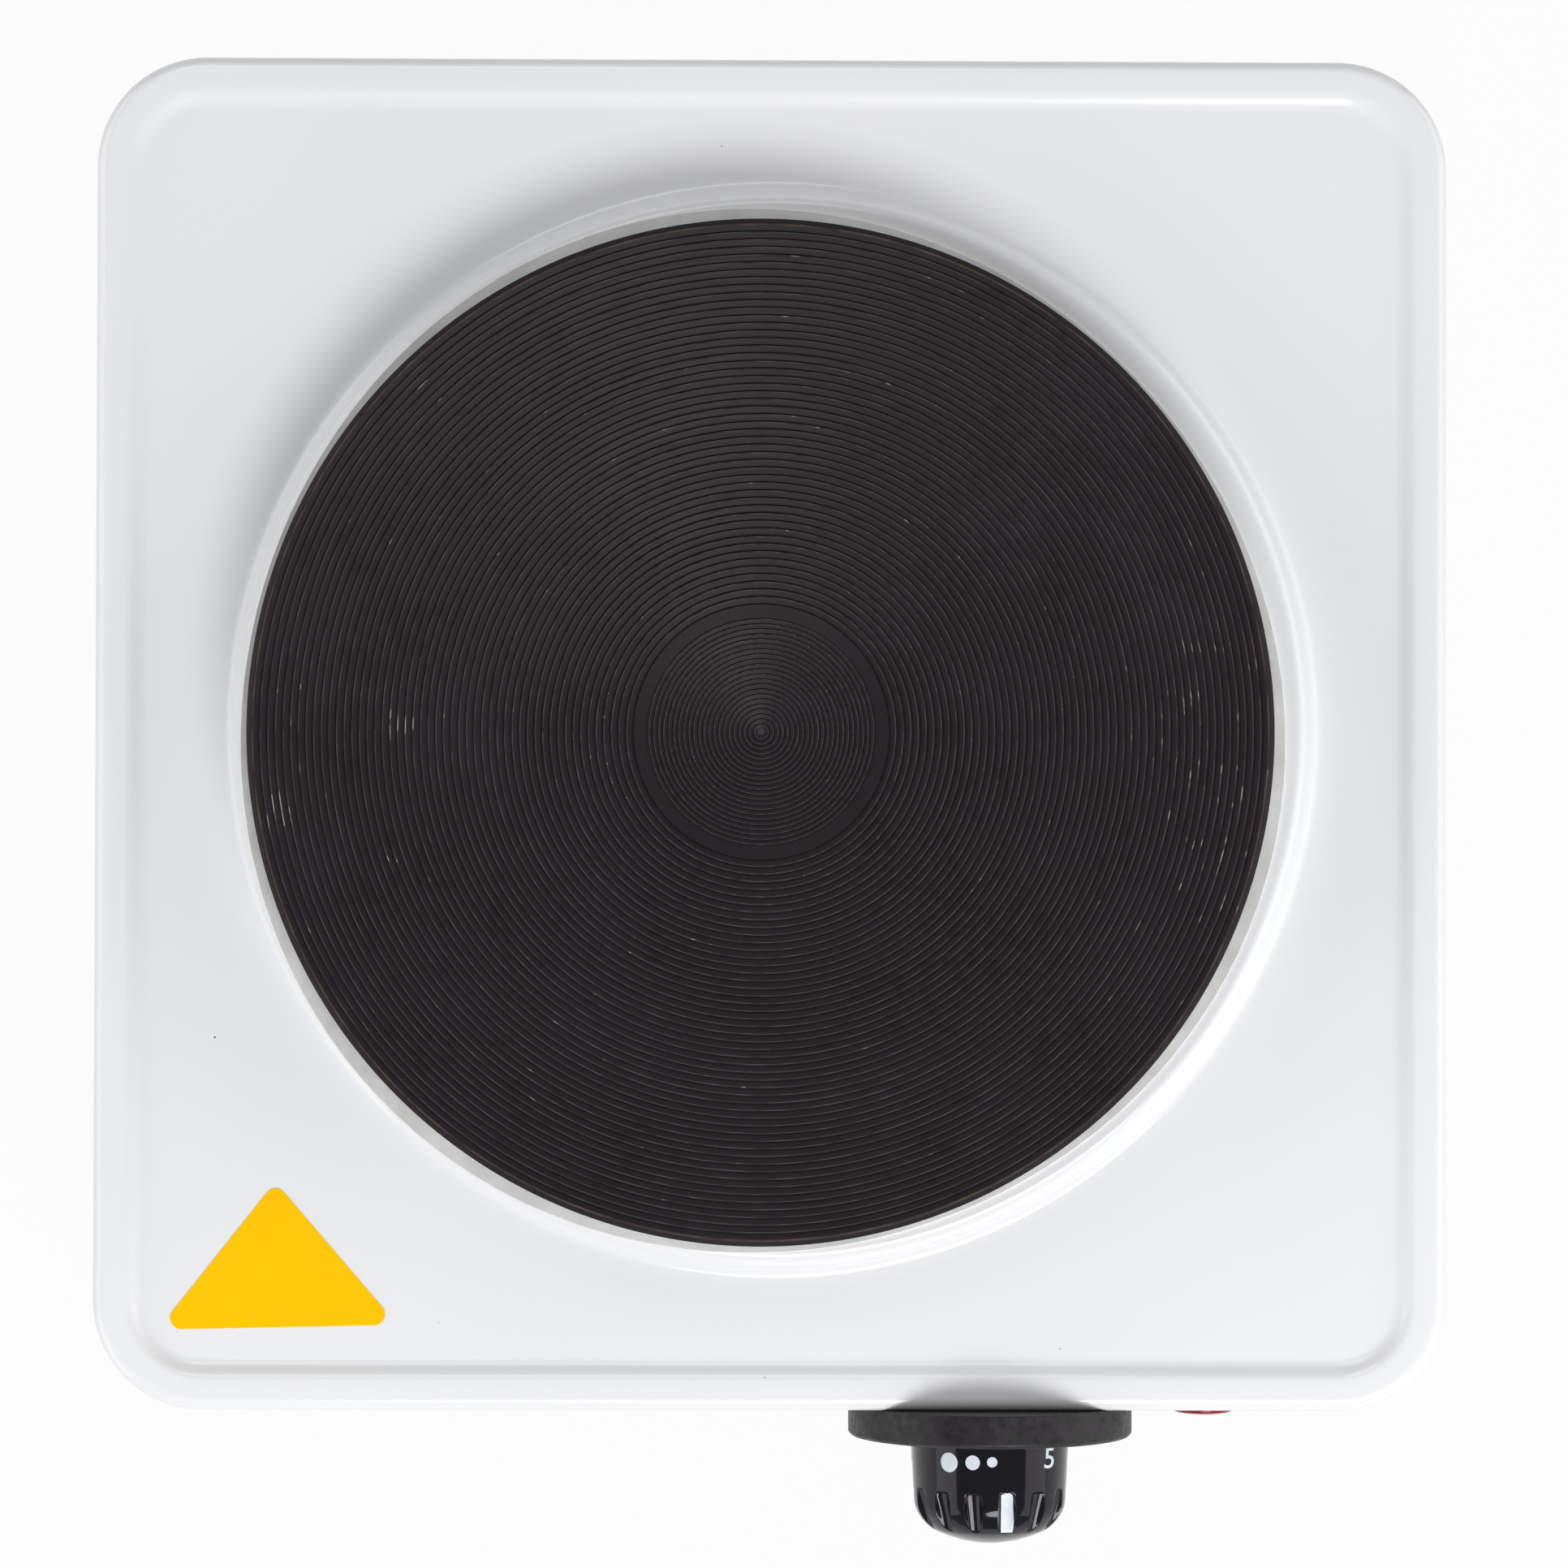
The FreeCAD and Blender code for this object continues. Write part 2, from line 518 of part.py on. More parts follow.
def changed(body, feature, sign):
    """Recompute, and stop if a feature hasn't added (sign 1) or cut (sign -1) anything."""
    before = body.BaseVolume if hasattr(body, "BaseVolume") else 0.0
    doc.recompute()
    volume = body.Shape.Volume
    if (volume - before) * sign <= 0:
        why = feature.getStatusString()
        raise RuntimeError("%s changes nothing in %s: %s" % (feature.Name, body.Name, why))
    if not hasattr(body, "BaseVolume"):
        body.addProperty("App::PropertyFloat", "BaseVolume")
    body.BaseVolume = volume
    return feature


def pad(body, sketch, length, both_ways=False):
    feature = body.newObject("PartDesign::Pad", body.Name + "_pad")
    feature.Profile = sketch
    feature.Midplane = both_ways
    bind(feature, Length=length)
    return changed(body, feature, 1)


def pocket(body, sketch, length, along_normal=False, taper=None):
    """Cut against the sketch's normal, or along it."""
    feature = body.newObject("PartDesign::Pocket", body.Name + "_pocket")
    feature.Profile = sketch
    feature.Reversed = along_normal
    bind(feature, Length=length)
    if taper:
        bind(feature, TaperAngle=taper)
    return changed(body, feature, -1)


def revolve(body, corners, plane="XZ_Plane", cut=False):
    """Turn an outline of (radius, height) pairs round the sketch's upright axis."""
    sketch = new_sketch(body, plane)
    draw_polygon(sketch, corners)
    kind = "PartDesign::Groove" if cut else "PartDesign::Revolution"
    feature = body.newObject(kind, body.Name + "_turn")
    feature.Profile = sketch
    feature.ReferenceAxis = (sketch, ["V_Axis"])
    feature.Angle = 360
    return changed(body, feature, -1 if cut else 1)


def turned_body(name, corners, plane="XZ_Plane"):
    body = new_body(name)
    revolve(body, corners, plane)
    return body


def hole(body, plane, lift, circles, depth, along_normal=False):
    """Round holes, each a triple of formulas: two coordinates and a radius."""
    sketch = new_sketch(body, plane, lift)
    for x, y, radius in circles:
        draw_circle(sketch, x, y, radius)
    return pocket(body, sketch, depth, along_normal)


def fillet(body, radius, wanted):
    """Round every edge that the test picks."""
    edges = enumerate(body.Shape.Edges, start=1)
    names = ["Edge%d" % number for number, edge in edges if wanted(edge)]
    base = body.Tip
    feature = body.newObject("PartDesign::Fillet", body.Name + "_fillet")
    feature.Base = (base, names)
    bind(feature, Radius=radius)
    return changed(body, feature, -1)


def repeat(body, feature, kind, **settings):
    """A pattern of one feature; it becomes the body's tip."""
    pattern = body.newObject("PartDesign::" + kind, body.Name + "_pattern")
    pattern.Originals = [feature]
    for name, value in settings.items():
        setattr(pattern, name, value)
    body.Tip = pattern
    return pattern


# ---- Part primitives and booleans ----

def block(x, y, z, at=("0", "0", "0")):
    """A box of the given size, centred in X on its place and starting there in Y and Z."""
    box = doc.addObject("Part::Box", "box")
    bind(box, Length=x, Width=y, Height=z)
    place(box, "%s - (%s) / 2" % (at[0], x), at[1], at[2])
    return box


def rod(radius, length, at=("0", "0", "0"), turn=None):
    cylinder = doc.addObject("Part::Cylinder", "rod")
    bind(cylinder, Radius=radius, Height=length)
    place(cylinder, *at, turn=turn)
    return cylinder


def hexagon(half_flats, height, at=("0", "0", "0")):
    """A nut's blank, from the radius of the circle inside its flats."""
    outline = doc.addObject("Part::RegularPolygon", "hexagon")
    outline.Polygon = 6
    bind(outline, Circumradius="(%s) / cos(30)" % half_flats)
    prism = doc.addObject("Part::Extrusion", "prism")
    prism.Base = outline
    prism.DirMode = "Custom"
    prism.Dir = FreeCAD.Vector(0, 0, 1)
    prism.Solid = True
    bind(prism, LengthFwd=height)
    place(prism, *at)
    return prism


def fuse(*things):
    union = doc.addObject("Part::MultiFuse", "union")
    union.Shapes = list(things)
    return union


def cut(base, *tools):
    difference = doc.addObject("Part::Cut", "difference")
    difference.Base = base
    difference.Tool = tools[0] if len(tools) == 1 else fuse(*tools)
    return difference


def tube(radius, bore, length):
    return cut(rod(radius, length), rod(bore, "%s + 2 * overcut" % length, ("0", "0", "-overcut")))


def links(name, places):
    """Placed copies of blanks; each place has the blank, X, Y, Z and, if it is turned, a turn."""
    made = []
    for source, x, y, z, *turn in places:
        link = doc.addObject("App::Link", name + "_copy")
        link.LinkedObject = source
        made.append(place(link, x, y, z, turn[0] if turn else None))
    return made


def group_of(name, things):
    group = doc.addObject("Part::Compound", name + "_group")
    group.Links = list(things)
    return group


def copies(name, source, places):
    """One node of separate, equal solids."""
    return finish(name, group_of(name, links(name, [(source, *where) for where in places])))


def slotted_screw(radius, length, head_radius, head_height):
    """A screw that points down: its head stands on Z = 0 and a slot crosses the head."""
    shank = rod(radius, length, ("0", "0", "-(%s)" % length))
    head = doc.addObject("Part::Cone", "head")
    bind(head, Radius1=head_radius, Radius2="(%s) * 0.8" % head_radius, Height=head_height)
    slot = block("(%s) * 0.25" % head_radius, "(%s) * 2.2" % head_radius, head_height,
                 ("0", "-(%s) * 1.1" % head_radius, "(%s) / 2" % head_height))
    return cut(fuse(shank, head), slot)


def small_screw(length):
    return slotted_screw("small_screw", length, "small_head", "small_head_height")


def hex_nut(half_flats, height, bore):
    return cut(hexagon(half_flats, height), rod(bore, "%s + 2 * overcut" % height, ("0", "0", "-overcut")))


def wire_along(name, radius, points):
    """A round wire along straight runs and tangent arcs as large as the runs allow."""
    spots = [FreeCAD.Vector(*(amount(text) for text in point)) for point in points]
    edges = []
    start = spots[0]
    for before, corner, after in zip(spots, spots[1:], spots[2:]):
        inward = (before - corner).normalize()
        outward = (after - corner).normalize()
        half_turn = (math.pi - inward.getAngle(outward)) / 2
        setback = 0.45 * min((before - corner).Length, (after - corner).Length)
        bend = setback / math.tan(half_turn)
        arc_start = corner + inward * setback
        arc_end = corner + outward * setback
        bisector = (inward + outward).normalize()
        middle = corner + bisector * (bend / math.cos(half_turn) - bend)
        edges.append(Part.LineSegment(start, arc_start).toShape())
        edges.append(Part.Arc(arc_start, middle, arc_end).toShape())
        start = arc_end
    edges.append(Part.LineSegment(start, spots[-1]).toShape())
    path = Part.Wire(edges)
    section = Part.Wire(Part.makeCircle(amount(radius), spots[0], (spots[1] - spots[0])))
    shape = path.makePipeShell([section], True, False)
    expected = math.pi * amount(radius) ** 2 * path.Length
    if abs(shape.Volume - expected) > 0.01 * expected:
        raise RuntimeError("%s is not a clean tube" % name)
    feature = doc.addObject("Part::Feature", name)
    feature.Shape = shape
    return feature


# ---- housing, base and feet ----

def make_housing():
    body = new_body("housing")
    outline = new_sketch(body, "XY_Plane", "skirt_lift")
    draw_round_box(outline, "half_side", "half_side", "corner_radius")
    pad(body, outline, "rim_top - skirt_lift")
    round_rim(body)
    panel = new_sketch(body, "XY_Plane", "rim_top")
    draw_round_box(panel, "half_side - rim_width", "half_side - rim_width", "corner_radius - rim_width")
    pocket(body, panel, "panel_drop", taper="-atan(step_width / panel_drop)")
    revolve(body, (
        ("hole_radius", "panel_under"), ("collar_foot", "panel_under"), ("collar_foot", "panel_top"),
        ("collar_radius", "collar_top"), ("hole_radius", "collar_top")))
    hollow_housing(body)
    add_ears(body)
    cut_wall_holes(body)
    finish("housing", body)


def round_rim(body):
    """Round the outer edge of the rim, which is the top edge all round."""
    top = amount("rim_top")
    fillet(body, "rim_rounding", lambda edge: all(abs(vertex.Z - top) < 0.001 for vertex in edge.Vertexes))


def hollow_housing(body):
    """Leave one sheet thickness everywhere: under the panel, in the rim and under the collar."""
    inside = new_sketch(body, "XY_Plane", "skirt_lift")
    draw_round_box(inside, "inner_half", "inner_half", "corner_radius - cover_sheet")
    pocket(body, inside, "panel_under - skirt_lift", along_normal=True)
    under_rim = new_sketch(body, "XY_Plane", "panel_under")
    for inset in ("(cover_sheet + rim_groove)", "(rim_width + (1 - sheet_bend) * cover_sheet)"):
        draw_round_box(under_rim, "half_side - " + inset, "half_side - " + inset, "corner_radius - " + inset)
    pocket(body, under_rim, "panel_drop", along_normal=True)
    hole(body, "XY_Plane", "collar_top", [("0", "0", "hole_radius")], "collar_rise + 2 * cover_sheet")
    revolve(body, (
        ("hole_radius - overcut", "panel_under - overcut"),
        ("collar_foot - sheet_bend * cover_sheet", "panel_under - overcut"),
        ("collar_foot - sheet_bend * cover_sheet", "panel_under"),
        ("collar_radius - sheet_bend * cover_sheet", "collar_top - cover_sheet"),
        ("hole_radius - overcut", "collar_top - cover_sheet")), cut=True)


def add_ears(body):
    """Four welded-in corner ears that the base plate is screwed to."""
    ears = new_sketch(body, "XY_Plane", "base_top")
    draw_round_box(ears, "half_side - cover_sheet / 2", "half_side - cover_sheet / 2",
                   "corner_radius - cover_sheet / 2")
    wall, chamfer = "inner_half", "(ear_reach - inner_half)"
    draw_polygon(ears, (
        (wall, "-" + chamfer), (wall, chamfer), (chamfer, wall), ("-" + chamfer, wall),
        ("-" + wall, chamfer), ("-" + wall, "-" + chamfer), ("-" + chamfer, "-" + wall),
        (chamfer, "-" + wall)))
    pad(body, ears, "ear_sheet")
    hole(body, "XY_Plane", "base_top + ear_sheet", foot_circles(), "ear_sheet")


def foot_circles():
    return [(x + "foot_place", y + "foot_place", "foot_hole") for x in ("", "-") for y in ("", "-")]


def cut_wall_holes(body):
    """Holes for the shaft's bushing, the bezel screws and the lamp in front, and the gland behind."""
    front = [
        ("knob_x", "knob_z", "sleeve_radius + sleeve_play"),
        ("knob_x - bezel_screw_place", "knob_z", "small_hole"),
        ("knob_x + bezel_screw_place", "knob_z", "small_hole"),
        ("lamp_x", "knob_z", "lens_barrel + lens_play"),
    ]
    through = "cover_sheet + 2 * overcut"
    hole(body, "XZ_Plane", "half_side + overcut", front, through)
    rear = [("-entry_x", "entry_z", "gland_neck + gland_play")]
    hole(body, "XZ_Plane", "-half_side - overcut", rear, through, along_normal=True)


def make_base_plate():
    body = new_body("base_plate")
    outline = new_sketch(body, "XY_Plane", "skirt_lift")
    draw_round_box(outline, "inner_half - base_gap", "inner_half - base_gap",
                   "corner_radius - cover_sheet - base_gap")
    pad(body, outline, "hem_height")
    inside = new_sketch(body, "XY_Plane", "skirt_lift")
    draw_round_box(inside, "inner_half - base_gap - base_sheet", "inner_half - base_gap - base_sheet",
                   "corner_radius - cover_sheet - base_gap - base_sheet")
    pocket(body, inside, "hem_height - base_sheet", along_normal=True)
    fixing = [
        ("-entry_x - clamp_screw_place", "clamp_y", "small_hole"),
        ("-entry_x + clamp_screw_place", "clamp_y", "small_hole"),
        ("-entry_x - way_pitch / 2", "block_y", "small_hole"),
        ("-entry_x + way_pitch / 2", "block_y", "small_hole"),
        ("-earth_x", "earth_y", "small_hole"),
    ]
    hole(body, "XY_Plane", "base_top", foot_circles() + fixing, "base_sheet")
    cut_vents(body)
    finish("base_plate", body)


def cut_vents(body):
    """A row of round-ended slots in the middle of the base plate."""
    slot = new_sketch(body, "XY_Plane", "base_top")
    draw_round_box(slot, "slot_length / 2", "slot_width / 2", "slot_width / 2 - screw_play",
                   "0", "-slot_pitch * (slot_count - 1) / 2")
    first = pocket(body, slot, "base_sheet")
    pattern = repeat(body, first, "LinearPattern", Direction=(slot, ["V_Axis"]))
    bind(pattern, Length="slot_pitch * (slot_count - 1)", Occurrences="slot_count")
    changed(body, pattern, -1)


def make_feet():
    foot = turned_body("rubber_foot", (
        ("foot_hole", "foot_recess_depth"), ("foot_recess_radius", "foot_recess_depth"),
        ("foot_recess_radius", "0"), ("foot_radius", "0"), ("foot_radius + foot_flare", "base_under"),
        ("foot_hole", "base_under")))
    screw = slotted_screw("foot_screw_radius", "foot_screw_length", "foot_head_radius", "foot_head_height")
    corners = [(x + "foot_place", y + "foot_place") for x in ("", "-") for y in ("", "-")]
    copies("rubber_feet", foot, [(x, y, "0") for x, y in corners])
    copies("foot_screws", screw, [(x, y, "foot_recess_depth", UPSIDE_DOWN) for x, y in corners])


# ---- cooking plate, coil and pan ----

def ridges(inner, outer, pitch, depth, land, wall, top):
    """Saw-tooth ridges from the outside in: a narrow land, a long slope inwards, a steep side."""
    count = max(1, round((outer - inner) / pitch))
    step = (outer - inner) / count
    points = []
    for number in range(count):
        crest = outer - number * step
        points.append((crest, top))
        points.append((crest - land, top))
        points.append((crest - step + wall, top - depth))
    return points


def make_plate():
    """The plate is turned from a computed outline, because its grooves are too many to draw."""
    radius, top, chamfer, drop, land = map(
        amount, ("plate_radius", "plate_height", "plate_chamfer", "chamfer_height", "rim_land"))
    ring, middle, middle_drop, middle_depth, middle_wall = map(
        amount, ("ring_radius", "middle_radius", "middle_drop", "middle_depth", "middle_wall"))
    chamber, boss, ceiling = map(amount, ("chamber_radius", "boss_radius", "chamber_depth"))
    thread = amount("stud_radius + stud_play")
    grip = amount("stud_grip + stud_play")
    field = radius - chamfer - land
    middle_top = top - middle_drop
    outline = [(thread, 0), (boss, 0), (boss, ceiling), (chamber, ceiling), (chamber, 0), (radius, 0),
               (radius, top - drop), (radius - chamfer, top)]
    teeth = map(amount, ("tooth_pitch", "tooth_depth", "tooth_land", "tooth_wall"))
    outline += ridges(ring, field, *teeth, top)
    outline += [(ring, top), (middle + middle_wall, middle_top - middle_depth)]
    fine_teeth = map(amount, ("middle_pitch", "middle_depth", "middle_land", "middle_wall"))
    outline += ridges(amount("middle_pitch / 2"), middle, *fine_teeth, middle_top)
    outline += [(0, middle_top - middle_depth), (0, grip), (thread, grip)]
    spots = [FreeCAD.Vector(across, 0, height) for across, height in outline]
    face = Part.Face(Part.makePolygon(spots + spots[:1]))
    plate = doc.addObject("Part::Feature", "plate")
    plate.Shape = face.revolve(FreeCAD.Vector(0, 0, 0), FreeCAD.Vector(0, 0, 1), 360)
    finish("cast_iron_plate", plate, "-plate_shift", "0", "plate_seat")


def coil_shape(radius):
    """A spiral of half circles whose middles alternate, so each half turn is wider by half a pitch."""
    height = amount("coil_z")
    grow = amount("coil_pitch / 2")
    reach = amount("coil_start")
    left, side = 0.0, 1
    edges = []
    for number in range(round(amount("coil_half_turns"))):
        middle = FreeCAD.Vector(left, 0, height)
        start = middle + FreeCAD.Vector(side * reach, 0, 0)
        end = middle - FreeCAD.Vector(side * reach, 0, 0)
        top = middle + FreeCAD.Vector(0, side * reach, 0)
        edges.append(Part.Arc(start, top, end).toShape())
        left = grow if number % 2 == 0 else 0.0
        side = -side
        reach += grow
    path = Part.Wire(edges)
    spot = FreeCAD.Vector(amount("coil_start"), 0, height)
    section = Part.Wire(Part.makeCircle(radius, spot, FreeCAD.Vector(0, 1, 0)))
    return path.makePipeShell([section], True, False)


def make_heater():
    coil = doc.addObject("Part::Feature", "coil")
    coil.Shape = coil_shape(amount("coil_radius"))
    finish("heating_coil", coil, "-plate_shift", "0", "plate_seat")
    groove = doc.addObject("Part::Feature", "coil_groove")
    groove.Shape = coil_shape(amount("coil_radius + cement_play"))
    ring = cut(rod("chamber_radius - cement_play", "chamber_depth - cement_play"),
               rod("boss_radius + cement_play", "chamber_depth"))
    pin_holes = [rod("pin_hole", "coil_z", (x, "0", "0")) for x in ("coil_start", "-coil_end")]
    finish("insulating_cement", cut(ring, groove, *pin_holes), "-plate_shift", "0", "plate_seat")


def make_pan():
    body = turned_body("heater_pan", (
        ("stud_hole", "0"), ("pan_radius", "0"), ("pan_radius", "pan_depth"),
        ("flange_radius", "pan_depth"), ("flange_radius", "pan_depth + pan_sheet"),
        ("pan_radius - pan_sheet", "pan_depth + pan_sheet"), ("pan_radius - pan_sheet", "pan_sheet"),
        ("stud_hole", "pan_sheet")))
    holes = [(x, "0", "bushing_radius + hole_play") for x in ("coil_start", "-coil_end")]
    hole(body, "XY_Plane", "pan_sheet", holes, "pan_sheet")
    finish("heater_pan", body, "-plate_shift", "0", "pan_floor")
    cover = new_body("plate_cover")
    outline = new_sketch(cover, "XY_Plane")
    draw_circle(outline, "0", "0", "pan_radius - pan_sheet - cover_play")
    draw_circle(outline, "0", "0", "stud_hole")
    for x in ("coil_start", "-coil_end"):
        draw_circle(outline, x, "0", "pin_hole + hole_play")
    pad(cover, outline, "cover_thickness")
    finish("plate_cover", cover, "-plate_shift", "0", "plate_seat - cover_thickness")


def make_centre_fixing():
    stud = rod("stud_radius", "plate_seat + stud_grip - stud_bottom")
    finish("plate_stud", stud, "-plate_shift", "0", "stud_bottom")
    bracket = new_body("bridge_bracket")
    profile = new_sketch(bracket, "YZ_Plane")
    tip, bend = "(strap_reach + strap_foot)", "(strap_reach - strap_sheet)"
    low, high = "strap_under", "(panel_under - strap_sheet)"
    draw_polygon(profile, (
        ("-strap_reach", low), ("strap_reach", low), ("strap_reach", high), (tip, high),
        (tip, "panel_under"), (bend, "panel_under"), (bend, "pan_floor"), ("-" + bend, "pan_floor"),
        ("-" + bend, "panel_under"), ("-" + tip, "panel_under"), ("-" + tip, high), ("-strap_reach", high)))
    pad(bracket, profile, "strap_width", both_ways=True)
    hole(bracket, "XY_Plane", "pan_floor", [("-plate_shift", "0", "stud_hole")], "strap_sheet")
    finish("bridge_bracket", bracket)
    washer = tube("washer_radius", "stud_hole", "washer_height")
    finish("stud_washer", washer, "-plate_shift", "0", "strap_under - washer_height")
    nut = hex_nut("nut_flat", "nut_height", "stud_radius + stud_play")
    finish("stud_nut", nut, "-plate_shift", "0", "strap_under - washer_height - nut_height")


def terminal_tag(bore):
    """A crimped ring terminal that points to +X: a flat ring on the pin and a barrel for the wire."""
    barrel = "(%s + barrel_wall)" % bore
    ring = rod("tag_radius", "tag_sheet")
    neck = doc.addObject("Part::Box", "neck")
    bind(neck, Length="tag_gap + barrel_wall", Width=barrel, Height="tag_sheet")
    place(neck, "0", "-%s / 2" % barrel, "0")
    body = rod(barrel, "tag_barrel", ("tag_gap", "0", barrel), TO_RIGHT)
    throat = rod(bore, "wire_seat + overcut", ("tag_gap + tag_barrel - wire_seat", "0", barrel), TO_RIGHT)
    eye = rod("pin_hole", "tag_sheet + 2 * overcut", ("0", "0", "-overcut"))
    return cut(fuse(ring, neck, body), eye, throat)


def make_heater_pins():
    places = ("inner_pin_x", "outer_pin_x")
    length = "plate_seat + coil_z - coil_radius - cement_play - bushing_bottom + pin_tail"
    copies("heater_pins", rod("pin_radius", length), [(x, "0", "bushing_bottom - pin_tail") for x in places])
    bushing = turned_body("pin_bushing", (
        ("pin_hole", "0"), ("bushing_radius", "0"), ("bushing_radius", "bushing_drop + pan_sheet"),
        ("bushing_collar", "bushing_drop + pan_sheet"),
        ("bushing_collar", "bushing_drop + pan_sheet + bushing_collar_height"),
        ("pin_hole", "bushing_drop + pan_sheet + bushing_collar_height")))
    copies("pin_bushings", bushing, [(x, "0", "bushing_bottom") for x in places])
    main = terminal_tag("wire_radius + wire_play")
    light = terminal_tag("lead_radius + wire_play")
    low, high = "bushing_bottom - 2 * tag_sheet", "bushing_bottom - tag_sheet"
    tags = (
        (main, "inner_pin_x", low, -90), (light, "inner_pin_x", high, -20),
        (main, "outer_pin_x", low, 90), (light, "outer_pin_x", high, -90))
    placed = links("pin_terminals", [(tag, x, "0", z, ((0, 0, 1), turn)) for tag, x, z, turn in tags])
    finish("pin_terminals", group_of("pin_terminals", placed))
    nut = hex_nut("pin_nut_flat", "pin_nut_height", "pin_hole")
    copies("pin_nuts", nut, [(x, "0", low + " - pin_nut_height") for x in places])


# ---- thermostat: drawn about the knob's axis, with Y = 0 on the outside of the front wall ----

def at_knob(name, thing, turn=None):
    return finish(name, thing, "knob_x", "-half_side", "knob_z", turn)


def hang(name, *things):
    """Turn pieces of the switch, drawn above the knob's axis, to where they hang below it."""
    return at_knob(name, group_of(name, things), HUNG)


def make_thermostat_frame():
    front = block("2 * frame_half", "frame_sheet", "frame_low + frame_high",
                  ("0", "cover_sheet", "-frame_low"))
    arm = "block_back - frame_short - cover_sheet"
    sides = [block("frame_sheet", arm, "frame_low + arm_high",
                   (side + "(frame_half - frame_sheet / 2)", "cover_sheet", "-frame_low"))
             for side in ("", "-")]
    fits = (
        ("0", "0", "sleeve_radius + stud_play"), ("bezel_screw_place", "0", "small_hole"),
        ("-bezel_screw_place", "0", "small_hole"), ("-lever_arm", "lever_z", "pivot_radius + stud_play"))
    openings = [rod(radius, "frame_sheet + 2 * overcut", (x, "cover_sheet - overcut", z), TO_REAR)
                for x, z, radius in fits]
    across = rod("small_hole", "2 * (frame_half + overcut)",
                 ("-frame_half - overcut", "side_screw_y", "side_screw_z"), TO_RIGHT)
    hang("thermostat_frame", cut(fuse(front, *sides), across, *openings))
    sleeve = turned_body("shaft_bushing", (
        ("shaft_radius + shaft_play", "-sleeve_front"), ("sleeve_radius", "-sleeve_front"),
        ("sleeve_radius", "frame_back"), ("sleeve_flange", "frame_back"), ("sleeve_flange", "sleeve_back"),
        ("shaft_radius + shaft_play", "sleeve_back")), "XY_Plane")
    at_knob("shaft_bushing", sleeve)


def make_shaft_group():
    length = "shaft_front + block_front + pivot_seat - end_play"
    shaft = rod("shaft_radius", length, ("0", "-shaft_front", "0"), TO_REAR)
    flat = block("2 * shaft_radius", "flat_length", "shaft_radius", ("0", "-shaft_front", "flat_height"))
    at_knob("control_shaft", cut(shaft, flat), ((0, 1, 0), amount("pointer_angle")))
    clip = tube("clip_radius", "shaft_radius + stud_play", "clip_height")
    hang("shaft_clip", place(clip, "0", "clip_front", "0", TO_REAR))
    hang("spiral_cam", cam_feature())


def cam_feature():
    """A disc whose radius grows evenly over the knob's turn, anticlockwise from where the nose is."""
    turn = math.radians(amount("knob_turn"))
    small, rise = amount("cam_radius"), amount("cam_rise")
    margin = math.radians(amount("cam_margin"))
    spots = []
    steps = 60
    for number in range(steps + 1):
        angle = -margin + (turn + 2 * margin) * number / steps
        reach = small + rise * angle / turn
        spots.append(FreeCAD.Vector(-reach * math.sin(angle), amount("cam_front"), reach * math.cos(angle)))
    spiral = Part.BSplineCurve()
    spiral.interpolate(spots)
    outline = Part.Wire([spiral.toShape(), Part.LineSegment(spots[-1], spots[0]).toShape()])
    start, along = FreeCAD.Vector(0, amount("cam_front"), 0), FreeCAD.Vector(0, 1, 0)
    disc = Part.Face(outline).extrude(along * amount("cam_width"))
    bore = Part.makeCylinder(amount("shaft_radius + stud_play"), amount("cam_width"), start, along)
    cam = doc.addObject("Part::Feature", "cam")
    cam.Shape = disc.cut(bore)
    return cam


def make_lever():
    bar = block("lever_arm + lever_end + lever_eye", "lever_width", "lever_height",
                ("(lever_end - lever_arm + lever_eye) / 2", "lever_front", "lever_z - lever_height / 2"))
    eye = rod("lever_eye", "lever_width", ("-lever_arm", "lever_front", "lever_z"), TO_REAR)
    nose = rod("nose_radius", "lever_width", ("0", "lever_front", "nose_z"), TO_REAR)
    root = block("2 * nose_radius", "lever_width", "lever_z - nose_z", ("0", "lever_front", "nose_z"))
    bore = rod("pivot_radius + shaft_play", "lever_width + 2 * overcut",
               ("-lever_arm", "lever_front - overcut", "lever_z"), TO_REAR)
    trim_y = "lever_front + lever_width / 2"
    thread = rod("trim_radius + stud_play", "lever_height + 2 * overcut",
                 ("lever_end", trim_y, "lever_z - lever_height / 2 - overcut"))
    hang("cam_lever", cut(fuse(bar, eye, nose, root), bore, thread))
    length = "lever_height + 2 * trim_height"
    hang("calibration_screw", rod("trim_radius", length, ("lever_end", trim_y, "trim_top - (%s)" % length)))
    pin_start = ("-lever_arm", "cover_sheet", "lever_z")
    hang("lever_pin", rod("pivot_radius", "block_front + pivot_seat - cover_sheet", pin_start, TO_REAR))


def make_switch_block():
    low = "(frame_low - block_lift)"
    body = block("2 * block_half", "block_depth", "blade_z + " + low, ("0", "block_front", "-" + low))
    fits = (("0", "0", "shaft_radius + shaft_play"), ("-lever_arm", "lever_z", "pivot_radius + stud_play"))
    seats = [rod(radius, "pivot_seat + overcut", (x, "block_front - overcut", z), TO_REAR)
             for x, z, radius in fits]
    for side, turn in (("-", TO_RIGHT), ("", TO_LEFT)):
        start = side + "(block_half + overcut)"
        at = (start, "side_screw_y", "side_screw_z")
        seats.append(rod("small_hole", "side_thread + 2 * overcut", at, turn))
    for x in ("blade_x", "bimetal_x"):
        at = (x, "screw_y", "blade_z - top_thread - overcut")
        seats.append(rod("small_hole", "top_thread + 2 * overcut", at))
    hang("switch_block", cut(body, *seats))


